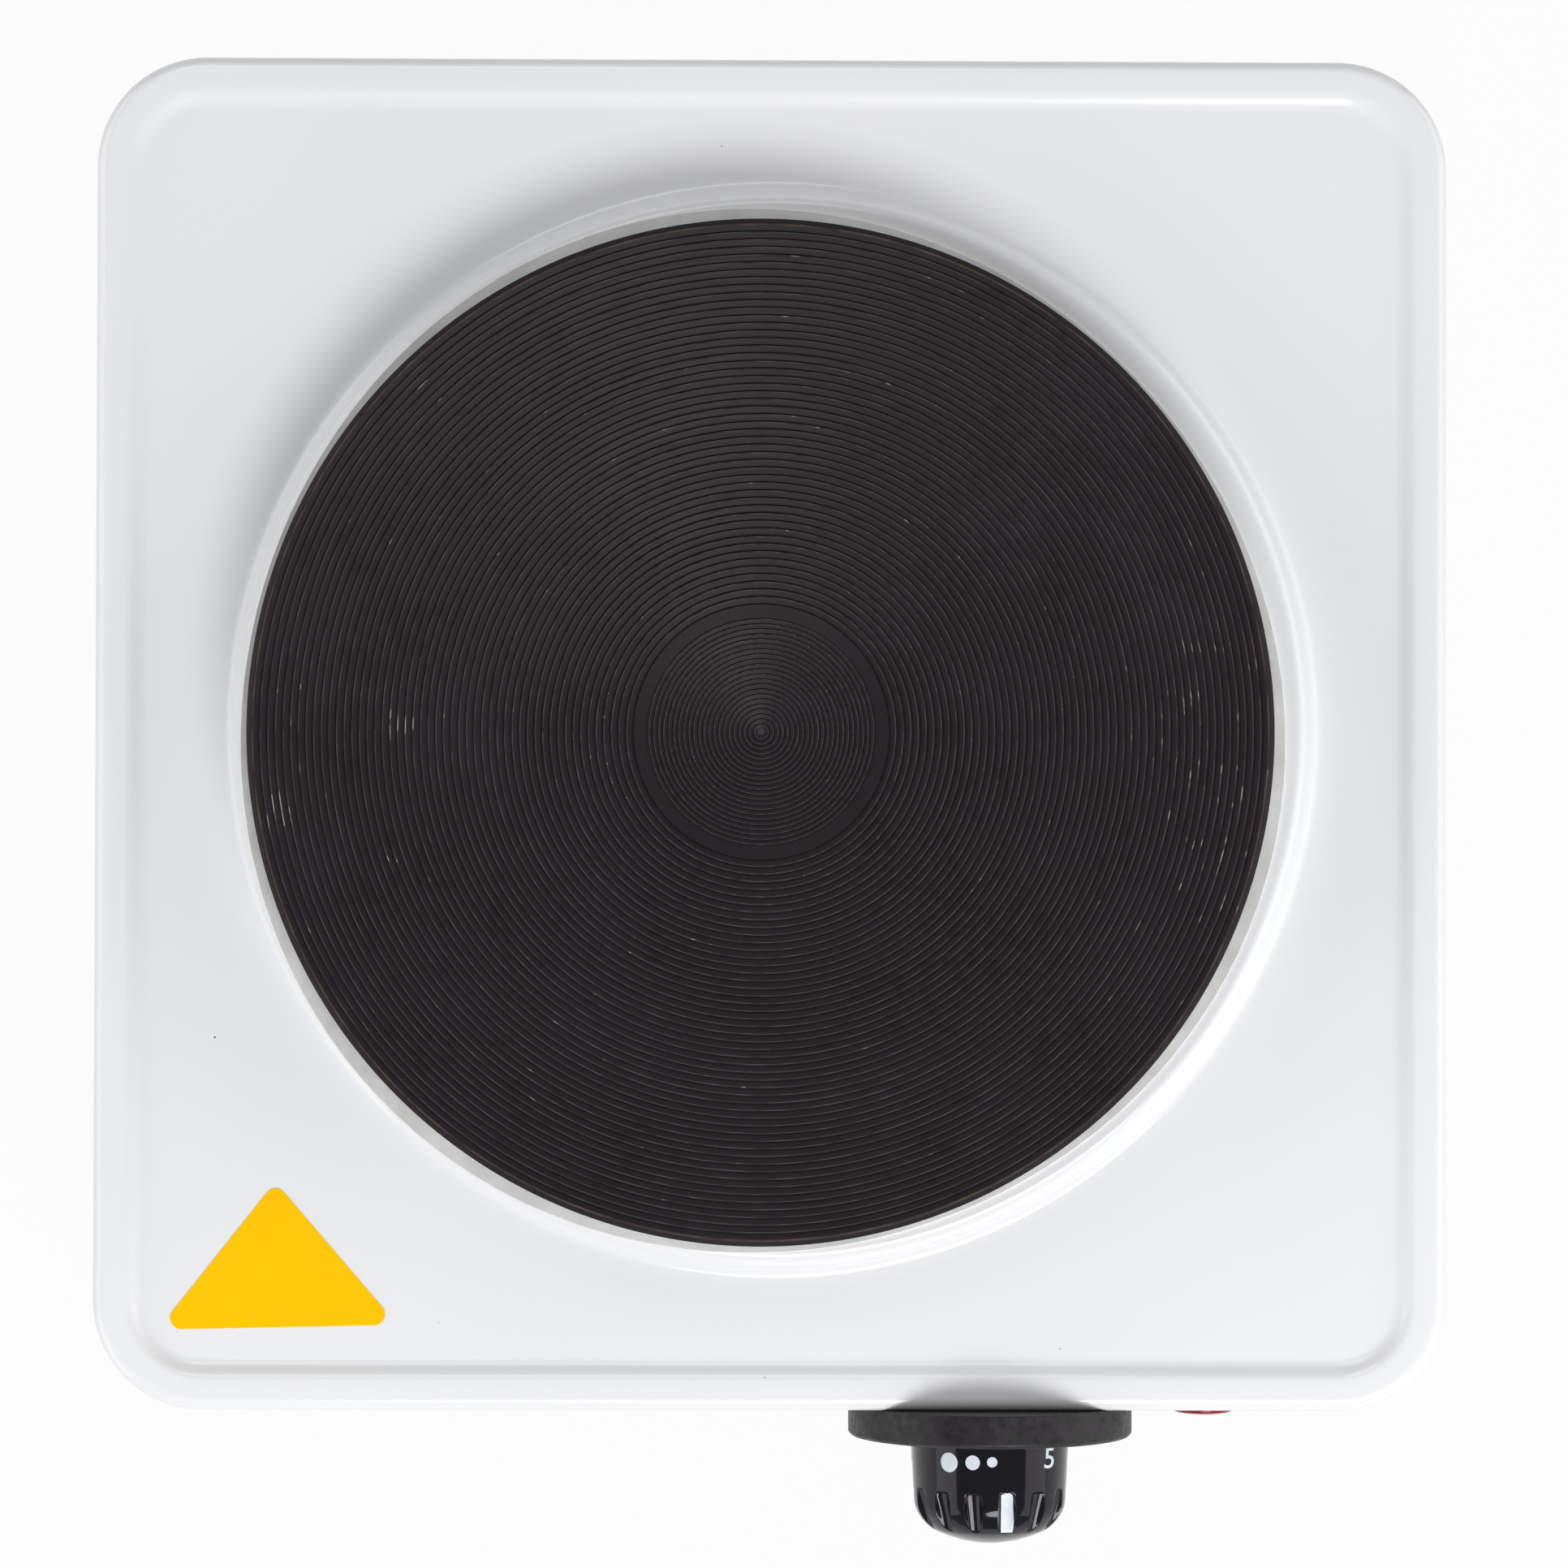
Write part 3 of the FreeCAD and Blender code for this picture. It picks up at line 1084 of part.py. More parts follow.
def strip(width, start, end, thickness, x, z):
    """A flat strip that runs back from the switch, with a screw hole over the porcelain block."""
    body = block(width, "%s - %s" % (end, start), thickness, (x, start, z))
    return cut(body, rod("small_hole", thickness + " + 2 * overcut", (x, "screw_y", z + " - overcut")))


def make_contacts():
    """Blades, spacer, rivets and bimetal stacked on the porcelain block, and the screws that hold them."""
    blade = strip("blade_width", "blade_front", "tab_end", "blade_sheet", "blade_x", "blade_z")
    hang("contact_blade", blade)
    spacer = strip("blade_width", "block_front", "block_back", "spacer_height", "blade_x",
                   "(blade_z + blade_sheet)")
    hang("contact_spacer", spacer)
    run = strip("blade_width", "blade_front", "block_back", "fixed_sheet", "blade_x", "fixed_z")
    link = block("fixed_side + blade_width", "link_width", "fixed_sheet",
                 ("blade_x - fixed_side / 2", "block_back - link_width", "fixed_z"))
    tab = block("blade_width", "blade_tail + link_width", "fixed_sheet",
                ("blade_x - fixed_side", "block_back - link_width", "fixed_z"))
    hang("fixed_contact", fuse(run, link, tab))
    rivets = [rod("rivet_radius", "rivet_height", ("blade_x", "blade_front + rivet_place", z))
              for z in ("blade_z + blade_sheet", "fixed_z - rivet_height")]
    hang("contact_rivets", *rivets)
    bimetal = strip("bimetal_width", "blade_front", "block_back", "bimetal_sheet", "bimetal_x", "blade_z")
    hang("bimetal_strip", bimetal)
    heads = (("blade_x", "fixed_z + fixed_sheet"), ("bimetal_x", "blade_z + bimetal_sheet"))
    hang("blade_screws", *(
        place(small_screw("%s - blade_z + top_thread" % z), x, "screw_y", z) for x, z in heads))
    side_screw = small_screw("frame_sheet + block_play + side_thread")
    hang("block_screws", *links("block_screws", (
        (side_screw, "-frame_half", "side_screw_y", "side_screw_z", TO_LEFT),
        (side_screw, "frame_half", "side_screw_y", "side_screw_z", TO_RIGHT))))


def make_receptacles():
    """Push-on receptacles over the two tabs, each with a crimped barrel for its wire."""
    made = []
    room, walls = " + 2 * receptacle_play", " + 2 * receptacle_wall"
    depth = "receptacle_length - receptacle_wall"
    tabs = (("blade_x", "blade_z", "blade_sheet"), ("blade_x - fixed_side", "fixed_z", "fixed_sheet"))
    for x, z, thickness in tabs:
        shell = block("blade_width" + room + walls, "receptacle_length", thickness + room + walls,
                      ("0", "0", "-receptacle_play - receptacle_wall"))
        mouth = block("blade_width" + room, depth + " + overcut", thickness + room,
                      ("0", "-overcut", "-receptacle_play"))
        axis = thickness + " / 2"
        barrel = rod("barrel_radius", "tag_barrel + receptacle_wall", ("0", depth, axis), TO_REAR)
        throat = rod("wire_radius + wire_play", "wire_seat + overcut",
                     ("0", "receptacle_length + tag_barrel - wire_seat", axis), TO_REAR)
        made.append(place(cut(fuse(shell, barrel), mouth, throat), x, "tab_end - tab_cover", z))
    hang("tab_receptacles", *made)


# ---- knob, bezel and lamp ----

def make_knob():
    """The knob is drawn with its back at Y = 0 and its dome towards -Y."""
    body = new_body("knob")
    rise = "(knob_length - crown_place)"
    dome = "((knob_crown ^ 2 + %s ^ 2) / (2 * %s))" % (rise, rise)
    corners = [("0", "0"), ("knob_base", "0"), ("knob_shoulder", "-shoulder_place"),
               ("knob_edge", "-edge_place"), ("knob_crown", "-crown_place")]
    for share in (0.75, 0.5, 0.25):
        across = "(knob_crown * %g)" % share
        corners.append((across, "-(knob_length - %s + sqrt(%s ^ 2 - %s ^ 2))" % (dome, dome, across)))
    corners.append(("0", "-knob_length"))
    revolve(body, corners, "XY_Plane")
    revolve(body, (("knob_hub", "overcut"), ("knob_base - knob_wall", "overcut"),
                   ("knob_shoulder - knob_wall", "-knob_hollow"),
                   ("knob_hub", "-knob_hollow")), "XY_Plane", cut=True)
    bore_knob(body)
    cut_flutes(body)
    finish("knob", body, "knob_x", "-half_side - knob_back", "knob_z", ((0, 1, 0), amount("pointer_angle")))
    bind(body, Placement__Rotation__Angle="pointer_angle")


def bore_knob(body):
    """A D-shaped bore: a round one, and beside it a chord that leaves room for the leaf spring."""
    sketch = new_sketch(body, "XZ_Plane")
    top = "spring_under + spring_sheet + spring_play"
    radius, chord = amount("shaft_radius + stud_play"), amount(top)
    half = math.sqrt(radius ** 2 - chord ** 2)
    reach = math.atan2(chord, half)
    circle = Part.Circle(FreeCAD.Vector(), FreeCAD.Vector(0, 0, 1), radius)
    right, left = FreeCAD.Vector(half, chord, 0), FreeCAD.Vector(-half, chord, 0)
    sketch.addGeometry(Part.ArcOfCircle(circle, math.pi - reach, 2 * math.pi + reach), False)
    sketch.addGeometry(Part.LineSegment(right, left), False)
    sketch.addConstraint(Sketcher.Constraint("Coincident", 0, 2, 1, 1))
    sketch.addConstraint(Sketcher.Constraint("Coincident", 1, 2, 0, 1))
    sketch.addConstraint(Sketcher.Constraint("Coincident", 0, 3, -1, 1))
    sketch.addConstraint(Sketcher.Constraint("Horizontal", 1))
    hold_value(sketch, Sketcher.Constraint("Radius", 0, radius), "shaft_radius + stud_play")
    hold_value(sketch, Sketcher.Constraint("DistanceY", -1, 1, 1, 1, chord), top)
    pocket(body, sketch, "knob_bore_depth", along_normal=True)


def cut_flutes(body):
    """Leaning round cutters, whose lowest line is flute_depth under the skirt at the shoulder."""
    cutter = body.newObject("PartDesign::SubtractiveCylinder", "flute")
    bind(cutter, Radius="flute_radius", Height="flute_length")
    leaning = FreeCAD.Rotation(FreeCAD.Vector(1, 0, 0), 90 + amount("flute_lean"))
    cutter.Placement = FreeCAD.Placement(FreeCAD.Vector(), leaning)
    along = "flute_length / 2"
    root = "knob_shoulder - flute_depth + flute_radius / cos(flute_lean)"
    bind(cutter, Placement__Base__x="0",
         Placement__Base__y="-shoulder_place + %s * cos(flute_lean)" % along,
         Placement__Base__z="%s + %s * sin(flute_lean)" % (root, along))
    changed(body, cutter, -1)
    axes = [feature for feature in body.Origin.OriginFeatures if feature.Role == "Y_Axis"]
    pattern = repeat(body, cutter, "PolarPattern", Axis=(axes[0], [""]), Angle=360)
    bind(pattern, Occurrences="flute_count")
    changed(body, pattern, -1)


def make_knob_spring():
    """A flat leaf in the knob's bore that presses on the shaft's flat."""
    body = new_body("knob_spring")
    outline = new_sketch(body, "XZ_Plane", "shaft_front - spring_end")
    wide, high = "spring_width / 2", "spring_under + spring_sheet"
    draw_polygon(outline, (
        ("-" + wide, "spring_under"), (wide, "spring_under"), (wide, high), ("-" + wide, high)))
    feature = pad(body, outline, "spring_length")
    feature.Reversed = True
    at_knob("knob_spring", body, ((0, 1, 0), amount("pointer_angle")))


def make_bezel():
    body = turned_body("knob_bezel", (
        ("shaft_radius + hole_play", "-bezel_thickness"), ("bezel_radius - bezel_edge", "-bezel_thickness"),
        ("bezel_radius", "-bezel_thickness + bezel_edge"), ("bezel_radius", "0"),
        ("sleeve_radius + hole_play", "0"), ("sleeve_radius + hole_play", "-sleeve_front - hole_play"),
        ("shaft_radius + hole_play", "-sleeve_front - hole_play")), "XY_Plane")
    places = [(side + "bezel_screw_place", "0") for side in ("", "-")]
    hole(body, "XZ_Plane", "bezel_thickness", [(x, z, "small_hole") for x, z in places], "bezel_thickness")
    heads = [(x, z, "small_head + screw_play") for x, z in places]
    hole(body, "XZ_Plane", "bezel_thickness", heads, "bezel_thickness - head_seat")
    at_knob("knob_bezel", body)
    copies("bezel_screws", small_screw("head_seat + frame_back + screw_end"), [
        ("knob_x + " + x, "-half_side - head_seat", "knob_z", TO_FRONT) for x, _ in places])


def at_lamp(name, thing, y="0", turn=None):
    return finish(name, thing, "lamp_x", "%s - half_side" % y, "knob_z", turn)


def make_lamp():
    """A domed lens through the wall, held by a push-on ring, with a neon bulb and its holder."""
    bore = "lens_barrel - lens_wall"
    dome = []
    for share in (0.95, 0.8, 0.6, 0.35, 0):
        dome.append(("lens_radius * %g" % share,
                     "-lens_flange - (lens_reach - lens_flange) * sqrt(1 - %g ^ 2)" % share))
    lens = turned_body("lamp_lens", [
        (bore, "lens_depth"), ("lens_barrel", "lens_depth"), ("lens_barrel", "0"), ("lens_radius", "0"),
        ("lens_radius", "-lens_flange")] + dome + [("0", "-lens_flange"), (bore, "-lens_flange")], "XY_Plane")
    at_lamp("lamp_lens", lens)
    ring = tube("lock_ring", "lens_barrel + stud_play", "lock_sheet")
    at_lamp("lamp_ring", ring, "cover_sheet", TO_REAR)
    bulb = turned_body("neon_bulb", (
        ("0", "0"), ("bulb_radius / 2", "bulb_tip / 5"), ("bulb_radius", "bulb_tip"),
        ("bulb_radius", "bulb_length"), ("0", "bulb_length")), "XY_Plane")
    at_lamp("neon_bulb", bulb)
    holder = turned_body("lamp_holder", (
        ("0", "bulb_length + stud_play"), ("bulb_radius + hole_play / 2", "bulb_length + stud_play"),
        ("bulb_radius + hole_play / 2", "lens_depth + stud_play"),
        ("holder_radius", "lens_depth + stud_play"),
        ("holder_radius", "lens_depth + holder_depth"), ("0", "lens_depth + holder_depth")), "XY_Plane")
    at_lamp("lamp_holder", holder)


# ---- cord entry, terminals and wires ----

def make_cord_entry():
    gland = turned_body("cord_gland", (
        ("gland_bore", "-gland_back"), ("gland_radius - gland_bevel", "-gland_back"),
        ("gland_radius", "-gland_back + gland_bevel"), ("gland_radius", "-cover_sheet"),
        ("gland_neck", "-cover_sheet"), ("gland_neck", "0"), ("gland_radius", "0"),
        ("gland_radius - gland_taper", "gland_flange"), ("gland_bore", "gland_flange")), "XY_Plane")
    finish("cord_gland", gland, "-entry_x", "half_side", "entry_z")
    saddle = block("clamp_width", "clamp_depth", "clamp_height", ("0", "-clamp_depth / 2", "0"))
    front, depth = "-clamp_depth / 2 - overcut", "clamp_depth + 2 * overcut"
    arch = rod("clamp_hole", depth, ("0", front, "clamp_hole"), TO_REAR)
    way_in = block("2 * clamp_hole", depth, "clamp_hole + overcut", ("0", front, "-overcut"))
    bolts = [rod("small_hole", "clamp_height + 2 * overcut", (side + "clamp_screw_place", "0", "-overcut"))
             for side in ("", "-")]
    finish("cord_clamp", cut(saddle, arch, way_in, *bolts), "-entry_x", "clamp_y", "base_top")
    copies("clamp_screws", small_screw("clamp_height + base_sheet + screw_end"), [
        ("-entry_x %s clamp_screw_place" % side, "clamp_y", "base_top + clamp_height") for side in "+-"])


def ways():
    """X of the three terminals, from the left: live, neutral and earth."""
    return ["-entry_x - way_pitch", "-entry_x", "-entry_x + way_pitch"]


def make_terminal_block():
    body = block("2 * ways_half", "ways_length", "ways_height", ("0", "-ways_length / 2", "0"))
    hollows = []
    for x in ("-way_pitch", "0", "way_pitch"):
        front = (x, "-ways_length / 2 - overcut", "tube_z")
        hollows.append(rod("tube_radius + screw_play", "ways_length + 2 * overcut", front, TO_REAR))
        for side in ("", "-"):
            at = (x, side + "terminal_place", "tube_z")
            hollows.append(rod("terminal_head + terminal_play", "ways_height - tube_z + overcut", at))
    for side in ("", "-"):
        at = (side + "way_pitch / 2", "0", "-overcut")
        hollows.append(rod("small_hole", "ways_height + 2 * overcut", at))
    finish("terminal_block", cut(body, *hollows), "-entry_x", "block_y", "base_top")
    sleeve = tube("tube_radius", "tube_bore", "ways_length - 2 * tube_short")
    threads = [
        rod("terminal_screw + stud_play", "tube_radius + overcut",
            ("0", "0", "ways_length / 2 - tube_short %s terminal_place" % side), TO_FRONT) for side in "+-"]
    copies("terminal_sleeves", cut(sleeve, *threads), [
        (x, "block_y - ways_length / 2 + tube_short", "tube_height", TO_REAR) for x in ways()])
    length = "terminal_rise + tube_radius - tube_bore + terminal_grip"
    screw = slotted_screw("terminal_screw", length, "terminal_head", "terminal_head_height")
    copies("terminal_screws", screw, [
        (x, "block_y %s terminal_place" % side, "tube_height + tube_radius + terminal_rise")
        for x in ways() for side in ("+", "-")])
    copies("terminal_block_screws", small_screw("ways_height + base_sheet + screw_end"), [
        ("-entry_x %s way_pitch / 2" % side, "block_y", "base_top + ways_height") for side in ("+", "-")])


def make_earth():
    tag = terminal_tag("wire_radius + wire_play")
    finish("earth_terminal", tag, "-earth_x", "earth_y", "base_top", ((0, 0, 1), 180))
    screw = small_screw("tag_sheet + base_sheet + screw_end")
    finish("earth_screw", screw, "-earth_x", "earth_y", "base_top + tag_sheet")


def make_wires():
    """Insulated wires, each from inside one terminal to inside the next."""
    block_face = "block_y - ways_length / 2"
    inside = block_face + " + tube_short + wire_seat"
    live, neutral, earth = ways()
    seat = "tag_gap + tag_barrel - wire_seat"
    tab_y = "tab_end - tab_cover + receptacle_length + tag_barrel - half_side"
    blade_x, fixed_x = "knob_x - blade_x", "knob_x - blade_x + fixed_side"
    pin_z = "bushing_bottom - 2 * tag_sheet + barrel_radius"
    fixed_wire_z = "knob_z - fixed_z - fixed_sheet / 2"
    blade_wire_z = "knob_z - blade_z - blade_sheet / 2"
    routes = {
        "live_wire": (
            (live, inside, "tube_height"), (live, block_face + " - 22", "tube_height"),
            ("-48", "28", "base_top + 6"), ("-14", "-22", "base_top + 5"), ("14", "-50", "base_top + 7"),
            (fixed_x + " - 6", tab_y + " + 17", fixed_wire_z + " - 3"), (fixed_x, tab_y + " + 7", fixed_wire_z),
            (fixed_x, tab_y + " - wire_seat", fixed_wire_z)),
        "switched_wire": (
            (blade_x, tab_y + " - wire_seat", blade_wire_z), (blade_x, tab_y + " + 7", blade_wire_z),
            (blade_x + " - 2", tab_y + " + 24", "knob_z - 8"), ("24", "-38", "pin_z_level - 2"),
            ("inner_pin_x", "-tag_gap - tag_barrel - 12", "pin_z_level"),
            ("inner_pin_x", "-(%s)" % seat, "pin_z_level")),
        "neutral_wire": (
            (neutral, inside, "tube_height"), (neutral, block_face + " - 20", "tube_height"),
            ("outer_pin_x + 2", "34", "base_top + 20"),
            ("outer_pin_x", "tag_gap + tag_barrel + 11", "pin_z_level"),
            ("outer_pin_x", seat, "pin_z_level")),
        "earth_wire": (
            (earth, inside, "tube_height"), (earth, block_face + " - 14", "tube_height"),
            ("-44", "earth_y + 6", "base_top + 4"), ("-earth_x - 20", "earth_y", "base_top + barrel_radius"),
            ("-earth_x - (%s)" % seat, "earth_y", "base_top + barrel_radius")),
    }
    for name, route in routes.items():
        points = [tuple(text.replace("pin_z_level", "(%s)" % pin_z) for text in point) for point in route]
        finish(name, wire_along(name, "wire_radius", points))
    make_lamp_leads(seat)


def make_lamp_leads(seat):
    """Two thin leads from the lamp's holder, one to each heater pin."""
    start = "lens_depth + holder_depth - half_side"
    height = "(bushing_bottom - tag_sheet + lead_barrel)"
    lean = "20"
    right, left = "lamp_x + lead_place", "lamp_x - lead_place"
    to_inner = (
        (right, start, "knob_z"), (right, start + " + 14", "knob_z"), ("76", "-52", "knob_z - 4"),
        ("inner_pin_x + 24 * cos(%s)" % lean, "-24 * sin(%s)" % lean, height),
        ("inner_pin_x + (%s) * cos(%s)" % (seat, lean), "-(%s) * sin(%s)" % (seat, lean), height))
    to_outer = (
        (left, start, "knob_z"), (left, start + " + 12", "knob_z"), ("60", "-70", "base_top + 7"),
        ("12", "-64", "base_top + 4"), ("-40", "-52", "base_top + 5"),
        ("outer_pin_x", "-26", height), ("outer_pin_x", "-(%s)" % seat, height))
    leads = [wire_along("lamp_lead", "lead_radius", route) for route in (to_inner, to_outer)]
    finish("lamp_leads", group_of("lamp_leads", leads))


# ---- sticker ----

def make_sticker():
    """A blank triangle with round corners on the panel's front left corner."""
    body = new_body("panel_sticker")
    outline = new_sketch(body, "XY_Plane")
    draw_polygon(outline, (("-sticker_base / 2", "0"), ("sticker_base / 2", "0"), ("0", "sticker_height")))
    pad(body, outline, "sticker_sheet")
    thin = amount("sticker_sheet") / 2
    fillet(body, "sticker_corner", lambda edge: abs(edge.Vertexes[0].Z - edge.Vertexes[1].Z) > thin)
    askew = ((0, 0, 1), amount("sticker_turn"))
    finish("panel_sticker", body, "-sticker_x", "-sticker_y", "panel_top", askew)


# ---- check and export ----

def check_objects():
    """Stop before anything is written if an object failed or a finished shape isn't sound."""
    for thing in doc.Objects:
        if "Invalid" in thing.State or "Error" in thing.State:
            raise RuntimeError("%s failed: %s" % (thing.Label, thing.State))
    for thing in finished:
        if thing.Shape.isNull() or not thing.Shape.isValid() or not thing.Shape.Solids:
            raise RuntimeError("%s has no valid solid" % thing.Label)


def export_all():
    os.makedirs("parts", exist_ok=True)
    for thing in finished:
        thing.Shape.exportStep("parts/%s.step" % thing.Label)
    print("%d nodes, %d solids" % (len(finished), sum(len(thing.Shape.Solids) for thing in finished)))


fill_sheet()
make_housing()
make_base_plate()
make_feet()
make_plate()
make_heater()
make_pan()
make_centre_fixing()
make_heater_pins()
make_thermostat_frame()
make_shaft_group()
make_lever()
make_switch_block()
make_contacts()
make_receptacles()
make_knob()
make_knob_spring()
make_bezel()
make_lamp()
make_cord_entry()
make_terminal_block()
make_earth()
make_wires()
make_sticker()
doc.recompute()
check_objects()
export_all()
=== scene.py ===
# %% [markdown]
# # A single hot plate
#
# This lesson dresses a small electric cooking plate: a square white housing of pressed and enamelled
# steel, a round cast iron plate in its steel pan, a black knob on a matt black disc, a red pilot lamp
# and four rubber feet. The solids that carry and move it are loaded as a frame, and everything new is
# built round them, in metres, with X to the right, Y to the rear and Z up.

# %% Load the frame
import json
import math

import bmesh
import bpy
from mathutils import Matrix, Vector

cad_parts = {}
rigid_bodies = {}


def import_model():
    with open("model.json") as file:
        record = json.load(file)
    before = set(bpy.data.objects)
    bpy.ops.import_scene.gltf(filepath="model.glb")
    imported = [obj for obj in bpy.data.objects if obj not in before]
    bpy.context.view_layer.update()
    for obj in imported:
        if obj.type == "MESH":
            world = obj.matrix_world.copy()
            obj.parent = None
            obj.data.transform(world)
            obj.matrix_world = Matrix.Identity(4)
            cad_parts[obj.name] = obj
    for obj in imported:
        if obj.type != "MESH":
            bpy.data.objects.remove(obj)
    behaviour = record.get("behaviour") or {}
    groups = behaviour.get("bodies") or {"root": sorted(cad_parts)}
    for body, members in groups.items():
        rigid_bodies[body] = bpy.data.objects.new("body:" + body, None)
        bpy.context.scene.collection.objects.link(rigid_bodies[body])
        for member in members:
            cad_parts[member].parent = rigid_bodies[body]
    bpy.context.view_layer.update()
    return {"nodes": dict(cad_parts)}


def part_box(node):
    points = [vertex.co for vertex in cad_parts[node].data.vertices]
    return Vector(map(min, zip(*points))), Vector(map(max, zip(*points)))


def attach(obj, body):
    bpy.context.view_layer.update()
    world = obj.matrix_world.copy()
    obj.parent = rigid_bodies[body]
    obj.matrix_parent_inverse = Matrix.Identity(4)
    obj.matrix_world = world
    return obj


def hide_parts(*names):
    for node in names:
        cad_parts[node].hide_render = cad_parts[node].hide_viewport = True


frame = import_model()

# %% [markdown]
# The camera looks almost straight down from about a metre above the plate, through a long lens, so
# that the square housing stays nearly square. It leans by about a degree, so that the front edge of
# the knob's disc shows and nothing of the back does.

# %% Set up the camera
EYE = (-0.01179, -0.01092, 1.03419)
LEAN = (0.0131, -0.0144, 0.0028)

lens = bpy.data.cameras.new("camera")
lens.lens = 122.6
lens.sensor_width = 36
lens.clip_end = 20
camera = bpy.data.objects.new("camera", lens)
camera.location = EYE
camera.rotation_mode = "ZYX"
camera.rotation_euler = LEAN
bpy.context.collection.objects.link(camera)
bpy.context.scene.camera = camera
print("camera", round(camera.location.z * 1000), "mm above the table")

# %% [markdown]
# Four lamps light it. The main one is a soft oval in front, above and slightly to the right: it gives
# the bright lines along the rim, the shade behind the round collar and the glint on each crest of the
# plate. An oval has no corners, so its reflections end softly. Two long low ones at the sides fill the
# slopes of the collar and the side walls, a weak one behind keeps the rear wall readable, and an even
# world light keeps the shades from going black.

# %% Set up the lights
AIM = (0, 0, 0.05)


def area_light(name, place, power, width, height, shape="RECTANGLE"):
    """A lamp at a place in metres that faces the hot plate."""
    lamp = bpy.data.lights.new(name, "AREA")
    lamp.shape = shape
    lamp.size, lamp.size_y = width, height
    lamp.energy = power
    holder = bpy.data.objects.new(name, lamp)
    holder.location = place
    holder.rotation_mode = "QUATERNION"
    holder.rotation_quaternion = (Vector(AIM) - Vector(place)).to_track_quat("-Z", "Y")
    bpy.context.collection.objects.link(holder)
    print(name, power, "W")


area_light("front_light", (0.33, -0.98, 1.22), 15.5, 1.0, 0.62, "ELLIPSE")
area_light("right_light", (1.28, 0.00, 0.48), 10, 2.6, 0.9)
area_light("left_light", (-1.28, 0.00, 0.48), 11, 2.6, 0.9)
area_light("rear_light", (-0.20, 1.20, 1.50), 3, 0.8, 0.5)

world = bpy.data.worlds.new("studio")
world.use_nodes = True
background = world.node_tree.nodes["Background"]
background.inputs["Color"].default_value = (1, 1, 1, 1)
background.inputs["Strength"].default_value = 0.31
bpy.context.scene.world = world
bpy.context.scene.view_settings.view_transform = "Standard"
print("lights:", len(bpy.data.lights))

# %% [markdown]
# ## Finishes
#
# Each finish is a small node tree. A few helpers keep them readable: one adds a node and joins
# its inputs, one starts a material with its shader, and the others give a soft cloud, spread a value
# over a range, blend colours, and join the results to the shader. Patterns read Object coordinates, so
# they are in metres and stay on the piece when it turns.

# %% Helpers for materials
def add(tree, kind, inputs=None, **settings):
    """Add a shader node. An input may be a value or the output of another node."""
    made = tree.nodes.new("ShaderNode" + kind)
    for key, value in settings.items():
        setattr(made, key, value)
    for key, value in (inputs or {}).items():
        if isinstance(value, bpy.types.NodeSocket):
            tree.links.new(value, made.inputs[key])
        else:
            made.inputs[key].default_value = value
    return made


def start_material(name, **sockets):
    """A new material and its shader. Sockets are named in small letters, such as coat_weight."""
    material = bpy.data.materials.new(name)
    material.use_nodes = True
    tree = material.node_tree
    shader = tree.nodes["Principled BSDF"]
    names = {socket.name.lower().replace(" ", "_"): socket for socket in shader.inputs}
    for key, value in sockets.items():
        names[key].default_value = value
    return material, tree, shader


def own_place(tree):
    return add(tree, "TexCoord").outputs["Object"]


def cloud(tree, size, detail=3, roughness=0.5):
    """Soft random shades between 0 and 1, whose blotches are about size metres wide."""
    noise = add(tree, "TexNoise", {
        "Vector": own_place(tree), "Scale": 1 / size, "Detail": detail, "Roughness": roughness})
    return noise.outputs["Fac"]


def between(tree, amount, low, high, start=0.3, end=0.7):
    """Spread a value that runs from start to end over low to high."""
    spread = add(tree, "MapRange", {
        "Value": amount, "From Min": start, "From Max": end, "To Min": low, "To Max": high})
    return spread.outputs["Result"]


def math_node(tree, operation, first, second=0.0):
    return add(tree, "Math", {0: first, 1: second}, operation=operation).outputs["Value"]


def blend_colours(tree, amount, first, second):
    """The Mix node keeps its colour inputs at 6 and 7, and its colour output at 2."""
    return add(tree, "Mix", {"Factor": amount, 6: first, 7: second}, data_type="RGBA").outputs[2]


def two_tones(tree, size, dark, light, detail=3):
    """Two colours in soft blotches about size metres wide."""
    mottle = between(tree, cloud(tree, size, detail), 0, 1)
    return blend_colours(tree, mottle, colour(*dark), colour(*light))


def coat(tree, shader, shade, rough):
    """Give the shader its colour and its roughness."""
    tree.links.new(shade, shader.inputs["Base Color"])
    tree.links.new(rough, shader.inputs["Roughness"])


def raise_surface(tree, shader, height, depth, strength=1.0):
    """Bump the shader's normal: height runs from 0 to 1 over depth metres."""
    bump = add(tree, "Bump", {"Height": height, "Distance": depth, "Strength": strength})
    tree.links.new(bump.outputs["Normal"], shader.inputs["Normal"])


def colour(red, green, blue):
    return (red, green, blue, 1)


print("helpers ready")

# %% [markdown]
# ### White enamel
# The housing is pressed steel under a glassy white coat. Fired enamel is never quite flat: it has a
# faint orange peel that makes reflections swim, its white drifts a little across a panel, and a few
# pinholes show as dark specks. The peel is a bump a hundredth of a millimetre high, and the pinholes
# are the hearts of cells so widely spaced that the surface rarely passes near one.

# %% White enamel
DRIFT, CELLS_PER_METRE, PEEL = 0.09, 55, 0.004
PINHOLE_HEART, PINHOLE_RIM = 0.008, 0.013


